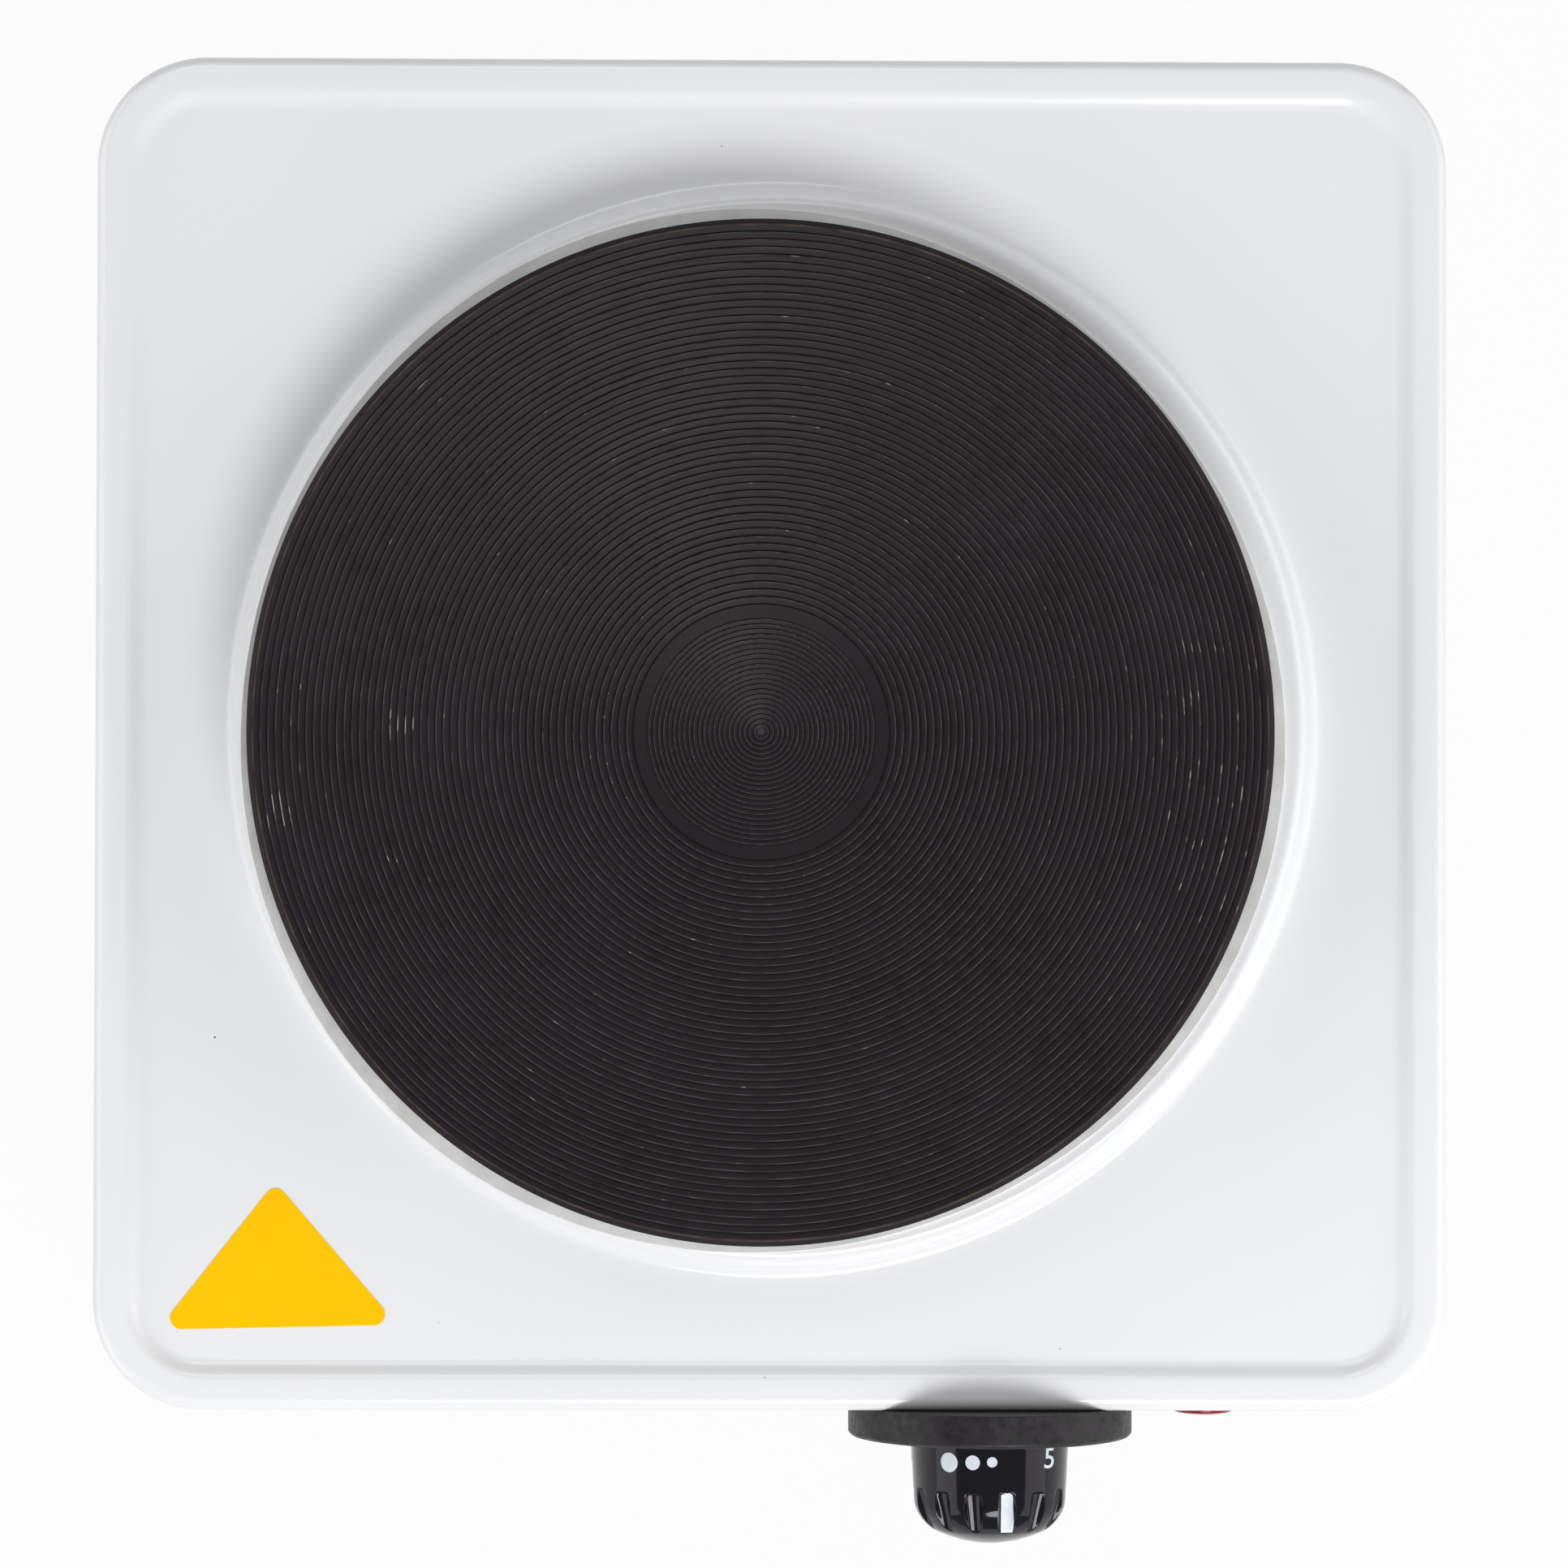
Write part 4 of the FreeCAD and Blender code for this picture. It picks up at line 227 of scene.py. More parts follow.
def white_enamel():
    material, tree, shader = start_material(
        "white_enamel", roughness=0.17, coat_weight=0.15, coat_roughness=0.06)
    white = two_tones(tree, DRIFT, (0.80, 0.81, 0.83), (0.83, 0.835, 0.85), 2)
    cells = add(tree, "TexVoronoi", {"Vector": own_place(tree), "Scale": CELLS_PER_METRE}, feature="F1")
    pinhole = between(tree, cells.outputs["Distance"], 1, 0, PINHOLE_HEART, PINHOLE_RIM)
    shade = blend_colours(tree, pinhole, white, colour(0.10, 0.09, 0.08))
    tree.links.new(shade, shader.inputs["Base Color"])
    raise_surface(tree, shader, cloud(tree, PEEL, 1), 0.00001)
    return material


finishes = {"enamel": white_enamel()}
print("made", finishes["enamel"].name)

# %% [markdown]
# ### Seasoned iron
# The plate is cast iron, turned on a lathe and coated with a dark heat-proof finish. It is brownish
# black and dull. Turning leaves fine marks round the middle, so the pattern is drawn in polar
# coordinates: the distance from the plate's middle, and the angle. Noise that is narrow across the
# rings and long round them gives streaks. Oval patches add bright dashes on the crests, partly rubbed
# coat and partly painted highlight: a long one at the right edge and three small ones on the left.

# %% Helpers for the iron's rings and patches
plate_low, plate_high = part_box("cast_iron_plate")
PLATE_MIDDLE = tuple((low + high) / 2 for low, high in zip(plate_low, plate_high))
PLATE_EDGE = (plate_high[0] - plate_low[0]) / 2
RING = 0.0012


def polar_place(tree, middle):
    """Distance from a vertical axis in metres, and the angle round it in radians."""
    centred = add(tree, "Mapping", {
        "Vector": own_place(tree), "Location": (-middle[0], -middle[1], 0)})
    parts = add(tree, "SeparateXYZ", {"Vector": centred.outputs["Vector"]})
    across, along = parts.outputs["X"], parts.outputs["Y"]
    square = math_node(tree, "ADD", math_node(tree, "MULTIPLY", across, across),
                       math_node(tree, "MULTIPLY", along, along))
    return math_node(tree, "SQRT", square), math_node(tree, "ARCTAN2", along, across)


def ring_noise(tree, reach, angle, ring, arc, detail=2):
    """Noise drawn out round the middle: ring metres wide and arc radians long."""
    place = add(tree, "CombineXYZ", {
        "X": math_node(tree, "DIVIDE", reach, ring), "Y": math_node(tree, "DIVIDE", angle, arc)})
    noise = add(tree, "TexNoise", {"Vector": place.outputs["Vector"], "Scale": 1.0, "Detail": detail})
    return noise.outputs["Fac"]


def patch(tree, across, along, half_width, half_length):
    """1 inside an oval patch beside the plate's middle, 0 outside it, in millimetres."""
    heart = (-PLATE_MIDDLE[0] - across / 1000, -PLATE_MIDDLE[1] - along / 1000, 0)
    centred = add(tree, "Mapping", {"Vector": own_place(tree), "Location": heart})
    scaled = add(tree, "Mapping", {
        "Vector": centred.outputs["Vector"], "Scale": (1000 / half_width, 1000 / half_length, 0)})
    away = add(tree, "VectorMath", {0: scaled.outputs["Vector"]}, operation="LENGTH")
    return between(tree, away.outputs["Value"], 1, 0, 0.5, 1)


print("plate radius", round(PLATE_EDGE * 1000, 1), "mm")

# %% [markdown]
# The finish has three layers. The slopes of the ridges are dark, with a soft mottle. Their flat crests,
# which the surface's own direction tells from the slopes, are lighter in streaks: partly worn coat and
# partly a painted highlight along each crest. The outermost crest is browner, where the coat is thin.
# Where the noise on a crest passes a threshold, a short bright dash shows, partly bare metal and partly
# a painted glint. The oval patches raise the noise, so that more of it passes.

# %% Seasoned iron
RIGHT_PATCH_BOOST, LEFT_PATCH_BOOST = 0.085, 0.24
LEFT_PATCHES = ((-65, 1.5, 5, 3), (-87, -15, 4, 5), (-66, -23, 1.5, 1.5))


def seasoned_iron():
    material, tree, shader = start_material("seasoned_iron", specular_ior_level=0.16)
    reach, angle = polar_place(tree, PLATE_MIDDLE)
    mottle = between(tree, cloud(tree, 0.02, 4, 0.6), 0, 1)
    dark = blend_colours(tree, mottle, colour(0.0130, 0.0095, 0.0118), colour(0.0180, 0.0135, 0.0165))
    facing = add(tree, "SeparateXYZ", {"Vector": add(tree, "NewGeometry").outputs["True Normal"]})
    crest = between(tree, facing.outputs["Z"], 0, 1, 0.98, 0.998)
    edge = between(tree, reach, 0, 1, PLATE_EDGE - 0.0016, PLATE_EDGE - 0.0010)
    # Lighter crests: partly worn coat and partly a painted highlight along each crest.
    crest_wear_and_sheen = blend_colours(tree, edge, colour(0.064, 0.054, 0.060), colour(0.095, 0.067, 0.047))
    streaks = between(tree, ring_noise(tree, reach, angle, RING, 0.07, 3), 0.12, 1, 0.34, 0.68)
    shade = blend_colours(tree, math_node(tree, "MULTIPLY", crest, streaks), dark, crest_wear_and_sheen)
    # Oval patches that raise the bright dashes, which are partly painted glints.
    patch_boost = math_node(tree, "MULTIPLY", patch(tree, 78, -6, 15, 52), RIGHT_PATCH_BOOST)
    for oval in LEFT_PATCHES:
        patch_boost = math_node(tree, "ADD", patch_boost,
                           math_node(tree, "MULTIPLY", patch(tree, *oval), LEFT_PATCH_BOOST))
    # Bright dashes on the crests: partly bare metal and partly painted glints.
    dashes = math_node(tree, "ADD", ring_noise(tree, reach, angle, RING, 0.055, 2), patch_boost)
    dashes_wear_and_glint = math_node(tree, "MULTIPLY", crest, between(tree, dashes, 0, 1, 0.69, 0.78))
    shade = blend_colours(tree, dashes_wear_and_glint, shade, colour(0.26, 0.245, 0.24))
    turned_marks = ring_noise(tree, reach, angle, RING / 10, 3.0, 1)
    coat(tree, shader, shade, math_node(tree, "SUBTRACT", between(tree, turned_marks, 0.44, 0.58),
                                        math_node(tree, "MULTIPLY", dashes_wear_and_glint, 0.15)))
    skin = math_node(tree, "ADD", math_node(tree, "MULTIPLY", turned_marks, 0.6),
                     math_node(tree, "MULTIPLY", cloud(tree, 0.0004, 2), 0.4))
    raise_surface(tree, shader, skin, 0.00002)
    return material


finishes["seasoned_iron"] = seasoned_iron()
print("made", finishes["seasoned_iron"].name)

# %% [markdown]
# ### Metals
# The other metals differ in colour, roughness and what their surface went through: plated screws are
# smooth with a few scuffs, brass is stained, a bimetal strip is rolled in one direction, and the pan's
# steel is dull and pale from heat. One function makes them all, with blotches of two shades and
# scratches from a noise stretched one way. Galvanised sheet has large pale crystals, so a cell pattern
# makes it instead.

# %% Metals
def metal(name, dark, light, size, rough, metallic=1.0, scratch=(900, 40, 900)):
    """Two shades in blotches of the given size, and scratches that are long where scratch is small."""
    material, tree, shader = start_material(name, metallic=metallic)
    drawn = add(tree, "Mapping", {"Vector": own_place(tree), "Scale": scratch})
    lines = add(tree, "TexNoise", {"Vector": drawn.outputs["Vector"], "Scale": 1.0, "Detail": 2})
    both = math_node(tree, "ADD", math_node(tree, "MULTIPLY", lines.outputs["Fac"], 0.4),
                     math_node(tree, "MULTIPLY", cloud(tree, size / 4, 3), 0.6))
    coat(tree, shader, two_tones(tree, size, dark, light), between(tree, both, *rough))
    raise_surface(tree, shader, lines.outputs["Fac"], 0.00002, 0.5)
    return material


def galvanised_sheet():
    """Zinc grows in crystals, each with its own shade and its own gloss."""
    material, tree, shader = start_material("galvanised_sheet", metallic=1.0)
    crystals = add(tree, "TexVoronoi", {"Vector": own_place(tree), "Scale": 220}, feature="F1")
    tone = add(tree, "SeparateColor", {"Color": crystals.outputs["Color"]}).outputs["Red"]
    shade = blend_colours(tree, tone, colour(0.50, 0.51, 0.53), colour(0.66, 0.67, 0.69))
    dirt = between(tree, cloud(tree, 0.03, 4), 0, 0.5, 0.5, 0.8)
    shade = blend_colours(tree, dirt, shade, colour(0.34, 0.33, 0.32))
    coat(tree, shader, shade, between(tree, tone, 0.32, 0.5, 0, 1))
    raise_surface(tree, shader, cloud(tree, 0.0008, 2), 0.00002, 0.4)
    return material


finishes["galvanised_sheet"] = galvanised_sheet()
for name, *values in (
        ("pan_steel", (0.70, 0.70, 0.69), (0.86, 0.86, 0.85), 0.012, (0.38, 0.50), 0.4),
        ("plated_steel", (0.55, 0.55, 0.53), (0.72, 0.71, 0.68), 0.006, (0.22, 0.38)),
        ("resistance_wire", (0.20, 0.16, 0.13), (0.36, 0.31, 0.27), 0.003, (0.45, 0.6)),
        ("terminal_brass", (0.52, 0.36, 0.14), (0.74, 0.56, 0.26), 0.005, (0.25, 0.42)),
        ("bimetal", (0.40, 0.36, 0.32), (0.58, 0.54, 0.48), 0.008, (0.30, 0.45), 1.0, (60, 900, 900))):
    finishes[name] = metal(name, *values)
print("finishes:", len(finishes))

# %% [markdown]
# ### Plastics, rubber, ceramics and paint
# What tells these apart is gloss and grain: the disc's phenolic is dull with a fine mottle, the knob's
# is nearly a mirror under a thin clear skin, rubber is soft and dusty, porcelain is smooth and faintly
# warm, magnesia cement is chalky with pits, the sticker is bright vinyl, and each wire has its own
# colour of sleeve. One function and a list of values make them all.

# %% Plastics, rubber, ceramics and paint
def moulded(name, dark, light, size, rough, grain, depth, sockets=None):
    """Two shades in soft blotches of the given size, and a grain of the given size and depth."""
    material, tree, shader = start_material(name, **(sockets or {}))
    coat(tree, shader, two_tones(tree, size, dark, light, 4),
         between(tree, cloud(tree, size * 0.6), *rough))
    raise_surface(tree, shader, cloud(tree, grain, 3), depth, 0.6)
    return material


KNOB_GLOSS = {"specular_ior_level": 0.30, "specular_tint": colour(0.90, 0.84, 1.0),
              "coat_weight": 0.15, "coat_roughness": 0.04}
SLEEVE = (0.003, (0.35, 0.5), 0.0007, 0.00001)

for name, *values in (
        ("foot_rubber", (0.016, 0.016, 0.017), (0.032, 0.031, 0.030),
         0.004, (0.65, 0.85), 0.0005, 0.00004),
        ("bezel_phenolic", (0.006, 0.0045, 0.006), (0.021, 0.0175, 0.021),
         0.0022, (0.34, 0.55), 0.0006, 0.00004, {"specular_ior_level": 0.35}),
        ("knob_phenolic", (0.0035, 0.0030, 0.0042), (0.0065, 0.0055, 0.0075),
         0.006, (0.07, 0.14), 0.0012, 0.000004, KNOB_GLOSS),
        ("cam_plastic", (0.62, 0.60, 0.55), (0.72, 0.70, 0.66), 0.004, (0.35, 0.5), 0.0005, 0.00001),
        ("holder_nylon", (0.60, 0.59, 0.55), (0.72, 0.71, 0.68), 0.004, (0.35, 0.5), 0.0006, 0.00001),
        ("clamp_nylon", (0.035, 0.035, 0.037), (0.06, 0.06, 0.062), 0.004, (0.4, 0.55), 0.0006, 0.00002),
        ("porcelain", (0.70, 0.68, 0.62), (0.80, 0.78, 0.73), 0.006, (0.18, 0.32), 0.002, 0.00002),
        ("magnesia_cement", (0.52, 0.50, 0.46), (0.70, 0.68, 0.63),
         0.005, (0.8, 0.95), 0.0009, 0.0002),
        ("brown_wire", (0.10, 0.035, 0.015), (0.15, 0.055, 0.025), *SLEEVE),
        ("black_wire", (0.012, 0.012, 0.012), (0.022, 0.022, 0.022), *SLEEVE),
        ("blue_wire", (0.01, 0.09, 0.33), (0.02, 0.14, 0.42), *SLEEVE),
        ("white_lead", (0.66, 0.65, 0.62), (0.78, 0.77, 0.74), *SLEEVE),
        ("yellow_sticker", (0.96, 0.53, 0.0), (1.0, 0.565, 0.001),
         0.02, (0.45, 0.55), 0.002, 0.00001, {"specular_ior_level": 0.05}),
        ("white_paint", (0.74, 0.79, 0.86), (0.80, 0.85, 0.92), 0.001, (0.5, 0.65), 0.0004, 0.00001)):
    finishes[name] = moulded(name, *values)
print("finishes:", len(finishes))

# %% [markdown]
# ### Striped wire, red lens and lamp glass
# The earth wire's yellow stripe runs along its green sleeve, which a wave across it gives. The pilot
# lens is red plastic that scatters most of the light, and the neon bulb behind it is clear glass: one
# function makes both, with different transmission.

# %% Striped wire, red lens and lamp glass
def striped_sleeve():
    material, tree, shader = start_material("green_yellow_wire")
    wave = add(tree, "TexWave", {
        "Vector": own_place(tree), "Scale": 160, "Distortion": 1.0, "Detail": 1}, bands_direction="Z")
    stripe = between(tree, wave.outputs["Fac"], 0, 1, 0.55, 0.65)
    shade = blend_colours(tree, stripe, colour(0.03, 0.24, 0.05), colour(0.78, 0.62, 0.03))
    coat(tree, shader, shade, between(tree, cloud(tree, 0.002), 0.35, 0.5))
    raise_surface(tree, shader, cloud(tree, 0.0007), 0.00001, 0.5)
    return material


def see_through(name, dark, light, rough, **sockets):
    material, tree, shader = start_material(name, **sockets)
    coat(tree, shader, two_tones(tree, 0.003, dark, light),
         between(tree, cloud(tree, 0.0015), *rough))
    raise_surface(tree, shader, cloud(tree, 0.0012), 0.000004, 0.4)
    return material


finishes["green_yellow_wire"] = striped_sleeve()
finishes["lens_red"] = see_through(
    "lens_red", (0.28, 0.004, 0.012), (0.38, 0.007, 0.018), (0.12, 0.2),
    ior=1.49, transmission_weight=0.2, specular_ior_level=0.2)
finishes["bulb_glass"] = see_through(
    "bulb_glass", (0.86, 0.88, 0.88), (0.92, 0.93, 0.93), (0.04, 0.09), ior=1.5, transmission_weight=0.9)
print("finishes:", len(finishes))

# %% [markdown]
# ## Pieces
#
# Every piece is drawn in millimetres and scaled once when it is kept. The helper that keeps a piece
# makes its mesh, lets it ride on a body and hides the frame's solids it stands for. Edges that turn by
# more than an angle are marked sharp, and so are open rims, where a Solidify modifier turns the sheet
# back.

# %% Helpers for pieces
MM = 0.001
UP, FRONT = Vector((0, 0, 1)), Vector((0, -1, 0))


def middle_of(node):
    """The middle of a node's box, in millimetres."""
    low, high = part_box(node)
    return Vector([(a + b) / 2 / MM for a, b in zip(low, high)])


def keep(name, drawing, body, slot_name, stands_for=(), crease=35, finish=None):
    """Make a piece of a drawing in millimetres, and let it ride on a body."""
    bmesh.ops.scale(drawing, vec=(MM, MM, MM), verts=drawing.verts)
    drawing.edges.index_update()
    open_rims = [edge.index for edge in drawing.edges if edge.is_boundary]
    mesh = bpy.data.meshes.new(name)
    drawing.to_mesh(mesh)
    drawing.free()
    mesh.shade_smooth()
    mesh.set_sharp_from_angle(angle=math.radians(crease))
    for number in open_rims:
        mesh.edges[number].use_edge_sharp = True
    mesh.materials.append(finish or finishes[slot_name])
    piece = bpy.data.objects.new(name, mesh)
    bpy.context.collection.objects.link(piece)
    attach(piece, body)
    if stands_for:
        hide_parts(*stands_for)
    print(name, len(mesh.polygons), "faces on", body)
    return piece


def collect(target, drawing):
    """Add one drawing to another, by way of a mesh."""
    held = bpy.data.meshes.new("held")
    drawing.to_mesh(held)
    drawing.free()
    target.from_mesh(held)
    bpy.data.meshes.remove(held)


def set_down(drawing, place, axis=UP):
    """Point the drawing's Z along an axis and move it to its place."""
    bmesh.ops.rotate(drawing, cent=(0, 0, 0), verts=drawing.verts,
                     matrix=UP.rotation_difference(axis).to_matrix())
    bmesh.ops.translate(drawing, vec=place, verts=drawing.verts)


print("housing middle", middle_of("housing"))

# %% [markdown]
# ### Turning
# The plate, the knob, the lens and the housing's collar are all round. Each is an outline on one side
# of an axis, whose corners are rounded by bevelling their vertices, and spinning it gives the skin.
# Points that meet at the seam and on the axis are merged, which closes the skin, and the normals are
# worked out again, because a spin can come out inside out.

# %% Helpers for turning
def draw_outline(drawing, corners, segments):
    """Join (across, up, rounding) corners in the XZ plane and round them."""
    spots = [drawing.verts.new((across, 0, up)) for across, up, _ in corners]
    for first, second in zip(spots, spots[1:]):
        drawing.edges.new((first, second))
    for spot, (_, _, rounding) in zip(spots, corners):
        if rounding:
            bmesh.ops.bevel(drawing, geom=[spot], affect="VERTICES", offset=rounding,
                            segments=segments, profile=0.5, material=-1)


def turn_round(drawing, steps):
    """Spin all that is drawn once round the Z axis, and close it."""
    bmesh.ops.spin(drawing, geom=drawing.verts[:] + drawing.edges[:], cent=(0, 0, 0), axis=(0, 0, 1),
                   angle=2 * math.pi, steps=steps, use_merge=True, use_duplicate=False)
    bmesh.ops.remove_doubles(drawing, verts=drawing.verts, dist=0.0001)
    bmesh.ops.recalc_face_normals(drawing, faces=drawing.faces)


def turned(corners, steps, segments):
    drawing = bmesh.new()
    draw_outline(drawing, corners, segments)
    turn_round(drawing, steps)
    return drawing


print("turning ready")

# %% [markdown]
# ### Housing
# The housing is one sheet of steel, drawn over a die: four walls, a rounded rim, a soft step down to
# a flat panel, and a round collar that carries the plate. A die can't press a sharp corner, so every
# edge has a radius, and those radii are what the light shows. A sheet that grows from its own outline
# keeps every bend even.
#
# It starts as a circle of four points, and bevelling them gives the rounded square. Its face is inset
# again and again, each time a little further in and up or down, which draws the rim and the step.

# %% Draw the outline, rim and step
HALF_SIDE = (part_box("housing")[1][0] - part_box("housing")[0][0]) / 2 / MM
RIM_TOP, PANEL_TOP = 60.0, 58.3
CORNER, CORNER_ARC, RIM_ROUNDING = 20.0, 20, 2.5
STEP_OUTER, STEP_WIDTH = 5.5, 3.9
BEND_STEPS, FLAT_BORDER = 10, 0.4


def inset(drawing, face, inward, rise=0.0):
    bmesh.ops.inset_region(drawing, faces=[face], thickness=inward, depth=rise,
                           use_boundary=True, use_even_offset=True)


def rounded_square(drawing):
    """A flat face with round corners, where the rim's bend starts."""
    bmesh.ops.create_circle(drawing, segments=4, radius=HALF_SIDE * math.sqrt(2), cap_ends=True)
    bmesh.ops.rotate(drawing, cent=(0, 0, 0), matrix=Matrix.Rotation(math.pi / 4, 3, "Z"),
                     verts=drawing.verts)
    bmesh.ops.translate(drawing, vec=(0, 0, RIM_TOP - RIM_ROUNDING), verts=drawing.verts)
    bmesh.ops.bevel(drawing, geom=drawing.verts[:], affect="VERTICES", offset=CORNER,
                    segments=CORNER_ARC, profile=0.5, material=-1)
    return drawing.faces[:][0]


def press_rim(drawing, face):
    """The quarter circle round the rim, then the S curve down to the panel."""
    for number in range(BEND_STEPS):
        start, end = (math.pi / 2 * (number + more) / BEND_STEPS for more in (0, 1))
        inset(drawing, face, RIM_ROUNDING * (math.cos(start) - math.cos(end)),
              RIM_ROUNDING * (math.sin(end) - math.sin(start)))
    inset(drawing, face, STEP_OUTER - RIM_ROUNDING)
    for number in range(BEND_STEPS):
        start, end = (math.cos(math.pi * (number + more) / BEND_STEPS) for more in (0, 1))
        inset(drawing, face, STEP_WIDTH / BEND_STEPS, (end - start) * (RIM_TOP - PANEL_TOP) / 2)
    inset(drawing, face, FLAT_BORDER)


print("housing", round(HALF_SIDE * 2, 1), "mm wide")

# %% [markdown]
# The walls are pulled down from the rim's outer edges. Flat parts get a narrow flat border, so that the
# shading of the bends doesn't spread over them. The front wall gets holes for the knob's shaft, the
# disc's two screws and the lamp, and the rear wall one for the gland: the wall's face is deleted, and
# its border and the circles are filled together.

# %% Helpers for walls and holes
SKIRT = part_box("housing")[0][2] / MM
FLAT = 0.001


def draw_walls(drawing, face):
    """Pull the walls down from the face's edges, with flat borders above and below."""
    edges = list(face.edges)
    height = RIM_TOP - RIM_ROUNDING - SKIRT
    for drop in (FLAT_BORDER, height - 2 * FLAT_BORDER, FLAT_BORDER):
        pulled = bmesh.ops.extrude_edge_only(drawing, edges=edges)["geom"]
        bmesh.ops.translate(drawing, vec=(0, 0, -drop), verts=[
            part for part in pulled if isinstance(part, bmesh.types.BMVert)])
        edges = [part for part in pulled if isinstance(part, bmesh.types.BMEdge)
                 and abs(part.verts[0].co.z - part.verts[1].co.z) < FLAT and part.is_boundary]


def open_wall(drawing, side, holes):
    """Give the flat wall at y = side round holes: (x, z, radius)."""
    wall = max((face for face in drawing.faces if abs(face.normal.y * side - abs(side)) < 0.01),
               key=lambda face: face.calc_area())
    border = list(wall.edges)
    bmesh.ops.delete(drawing, geom=[wall], context="FACES_ONLY")
    for x, z, radius in holes:
        upright = Matrix.Translation((x, side, z)) @ Matrix.Rotation(math.pi / 2, 4, "X")
        circle = bmesh.ops.create_circle(drawing, segments=48, radius=radius, matrix=upright)["verts"]
        border += {edge for spot in circle for edge in spot.link_edges}
    bmesh.ops.triangle_fill(drawing, edges=border, use_beauty=True, normal=(0, side, 0))


print("wall", RIM_TOP - RIM_ROUNDING - SKIRT, "mm high below the rim")

# %% [markdown]
# The collar is turned as an open skin and joined to the sheet: the panel's own face is deleted, and
# its border and the collar's outer edge are filled together. The press hit less hard at the rear, so
# the panel lies a little higher there, and most of all at the rear left. What joins it to the rim and
# the collar moves in proportion, and their tops stay level.

# %% Helpers for the collar and the lifted rear
COLLAR_TOP, COLLAR_FOOT, COLLAR_EDGE, COLLAR_HOLE = 64.0, 98.9, 96.7, 88.0
COLLAR_SHIFT = (0.3, 0.9)
COLLAR_BORDER, COLLAR_OUTER, COLLAR_LAND = 2.2, 2.6, 2.2
REAR_LIFT, REAR_START, REAR_LENGTH = 0.7, -40.0, 150.0
LEFT_LIFT, LEFT_PLACE, LEFT_SPREAD, LEFT_START, LEFT_LENGTH = 0.6, -72.0, 24.0, 50.0, 60.0


def ease(amount):
    """0 below 0, 1 above 1, and a smooth S curve between."""
    amount = min(max(amount, 0), 1)
    return amount * amount * (3 - 2 * amount)


def raise_collar(drawing, panel):
    """Turn the collar, face it up, and fill the panel between it and the step."""
    edges = list(panel.edges)
    bmesh.ops.delete(drawing, geom=[panel], context="FACES_ONLY")
    collar = turned((
        (COLLAR_FOOT + COLLAR_OUTER, PANEL_TOP, 0), (COLLAR_FOOT + COLLAR_BORDER, PANEL_TOP, 0),
        (COLLAR_FOOT, PANEL_TOP, 1.7), (COLLAR_EDGE, COLLAR_TOP, 1.5),
        (COLLAR_EDGE - COLLAR_LAND, COLLAR_TOP, 0), (COLLAR_HOLE, COLLAR_TOP, 0)), steps=192, segments=8)
    if sum(face.normal.z * face.calc_area() for face in collar.faces) < 0:
        bmesh.ops.reverse_faces(collar, faces=collar.faces)
    set_down(collar, (*COLLAR_SHIFT, 0))
    collect(drawing, collar)
    edges += [edge for edge in drawing.edges if edge.is_boundary and edge not in edges and all(
        spot.co.xy.length > COLLAR_FOOT + 1 and abs(spot.co.z - PANEL_TOP) < FLAT
        for spot in edge.verts)]
    bmesh.ops.triangle_fill(drawing, edges=edges, use_beauty=True, normal=(0, 0, 1))


def lift_rear(drawing):
    """Raise the panel at the rear, and what joins it in proportion."""
    for spot in drawing.verts:
        if max(abs(spot.co.x), abs(spot.co.y)) > HALF_SIDE - STEP_OUTER or spot.co.z < PANEL_TOP - 0.01:
            continue
        top = RIM_TOP if spot.co.xy.length > COLLAR_FOOT + 3 else COLLAR_TOP
        share = max((top - spot.co.z) / (top - PANEL_TOP), 0)
        bulge = math.exp(-((spot.co.x - LEFT_PLACE) / LEFT_SPREAD) ** 2)
        bulge *= ease((spot.co.y - LEFT_START) / LEFT_LENGTH)
        spot.co.z += share * (REAR_LIFT * ease((spot.co.y - REAR_START) / REAR_LENGTH)
                              + LEFT_LIFT * bulge)


print("collar", round(COLLAR_TOP - PANEL_TOP, 1), "mm high")

# %% [markdown]
# Now the sheet is pressed and set down where the frame's housing is. A Solidify modifier gives it its
# thickness inwards, so that the outside keeps its measures.

# %% Press the housing
SHEET = 1.0
SHAFT_HOLE, SCREW_HOLE, SCREW_REACH, LAMP_HOLE, GLAND_HOLE = 5.2, 1.55, 11, 5.1, 6.6
HOUSING = middle_of("housing")
KNOB, LAMP, GLAND = middle_of("knob_bezel"), middle_of("lamp_lens"), middle_of("cord_gland")

shell = bmesh.new()
top = rounded_square(shell)
draw_walls(shell, top)
press_rim(shell, top)
raise_collar(shell, top)
lift_rear(shell)
bmesh.ops.recalc_face_normals(shell, faces=shell.faces)
open_wall(shell, -HALF_SIDE, (
    (KNOB.x, KNOB.z, SHAFT_HOLE), (KNOB.x - SCREW_REACH, KNOB.z, SCREW_HOLE),
    (KNOB.x + SCREW_REACH, KNOB.z, SCREW_HOLE), (LAMP.x, LAMP.z, LAMP_HOLE)))
open_wall(shell, HALF_SIDE, ((GLAND.x, GLAND.z, GLAND_HOLE),))
bmesh.ops.recalc_face_normals(shell, faces=shell.faces)
set_down(shell, (HOUSING.x, HOUSING.y, 0))
housing_shell = keep("housing_shell", shell, "base", "enamel", ["housing"], crease=50)
wall = housing_shell.modifiers.new("sheet", "SOLIDIFY")
wall.thickness = SHEET * MM
wall.offset = -1

# %% [markdown]
# The four corner ears, which the base plate is screwed to, are welded inside the housing. Each is a
# small plate that follows the round corner, so it starts as three points of which one is bevelled. At
# two corners the points run the other way round and the face looks down, so it is flipped before the
# plates are thickened upwards.

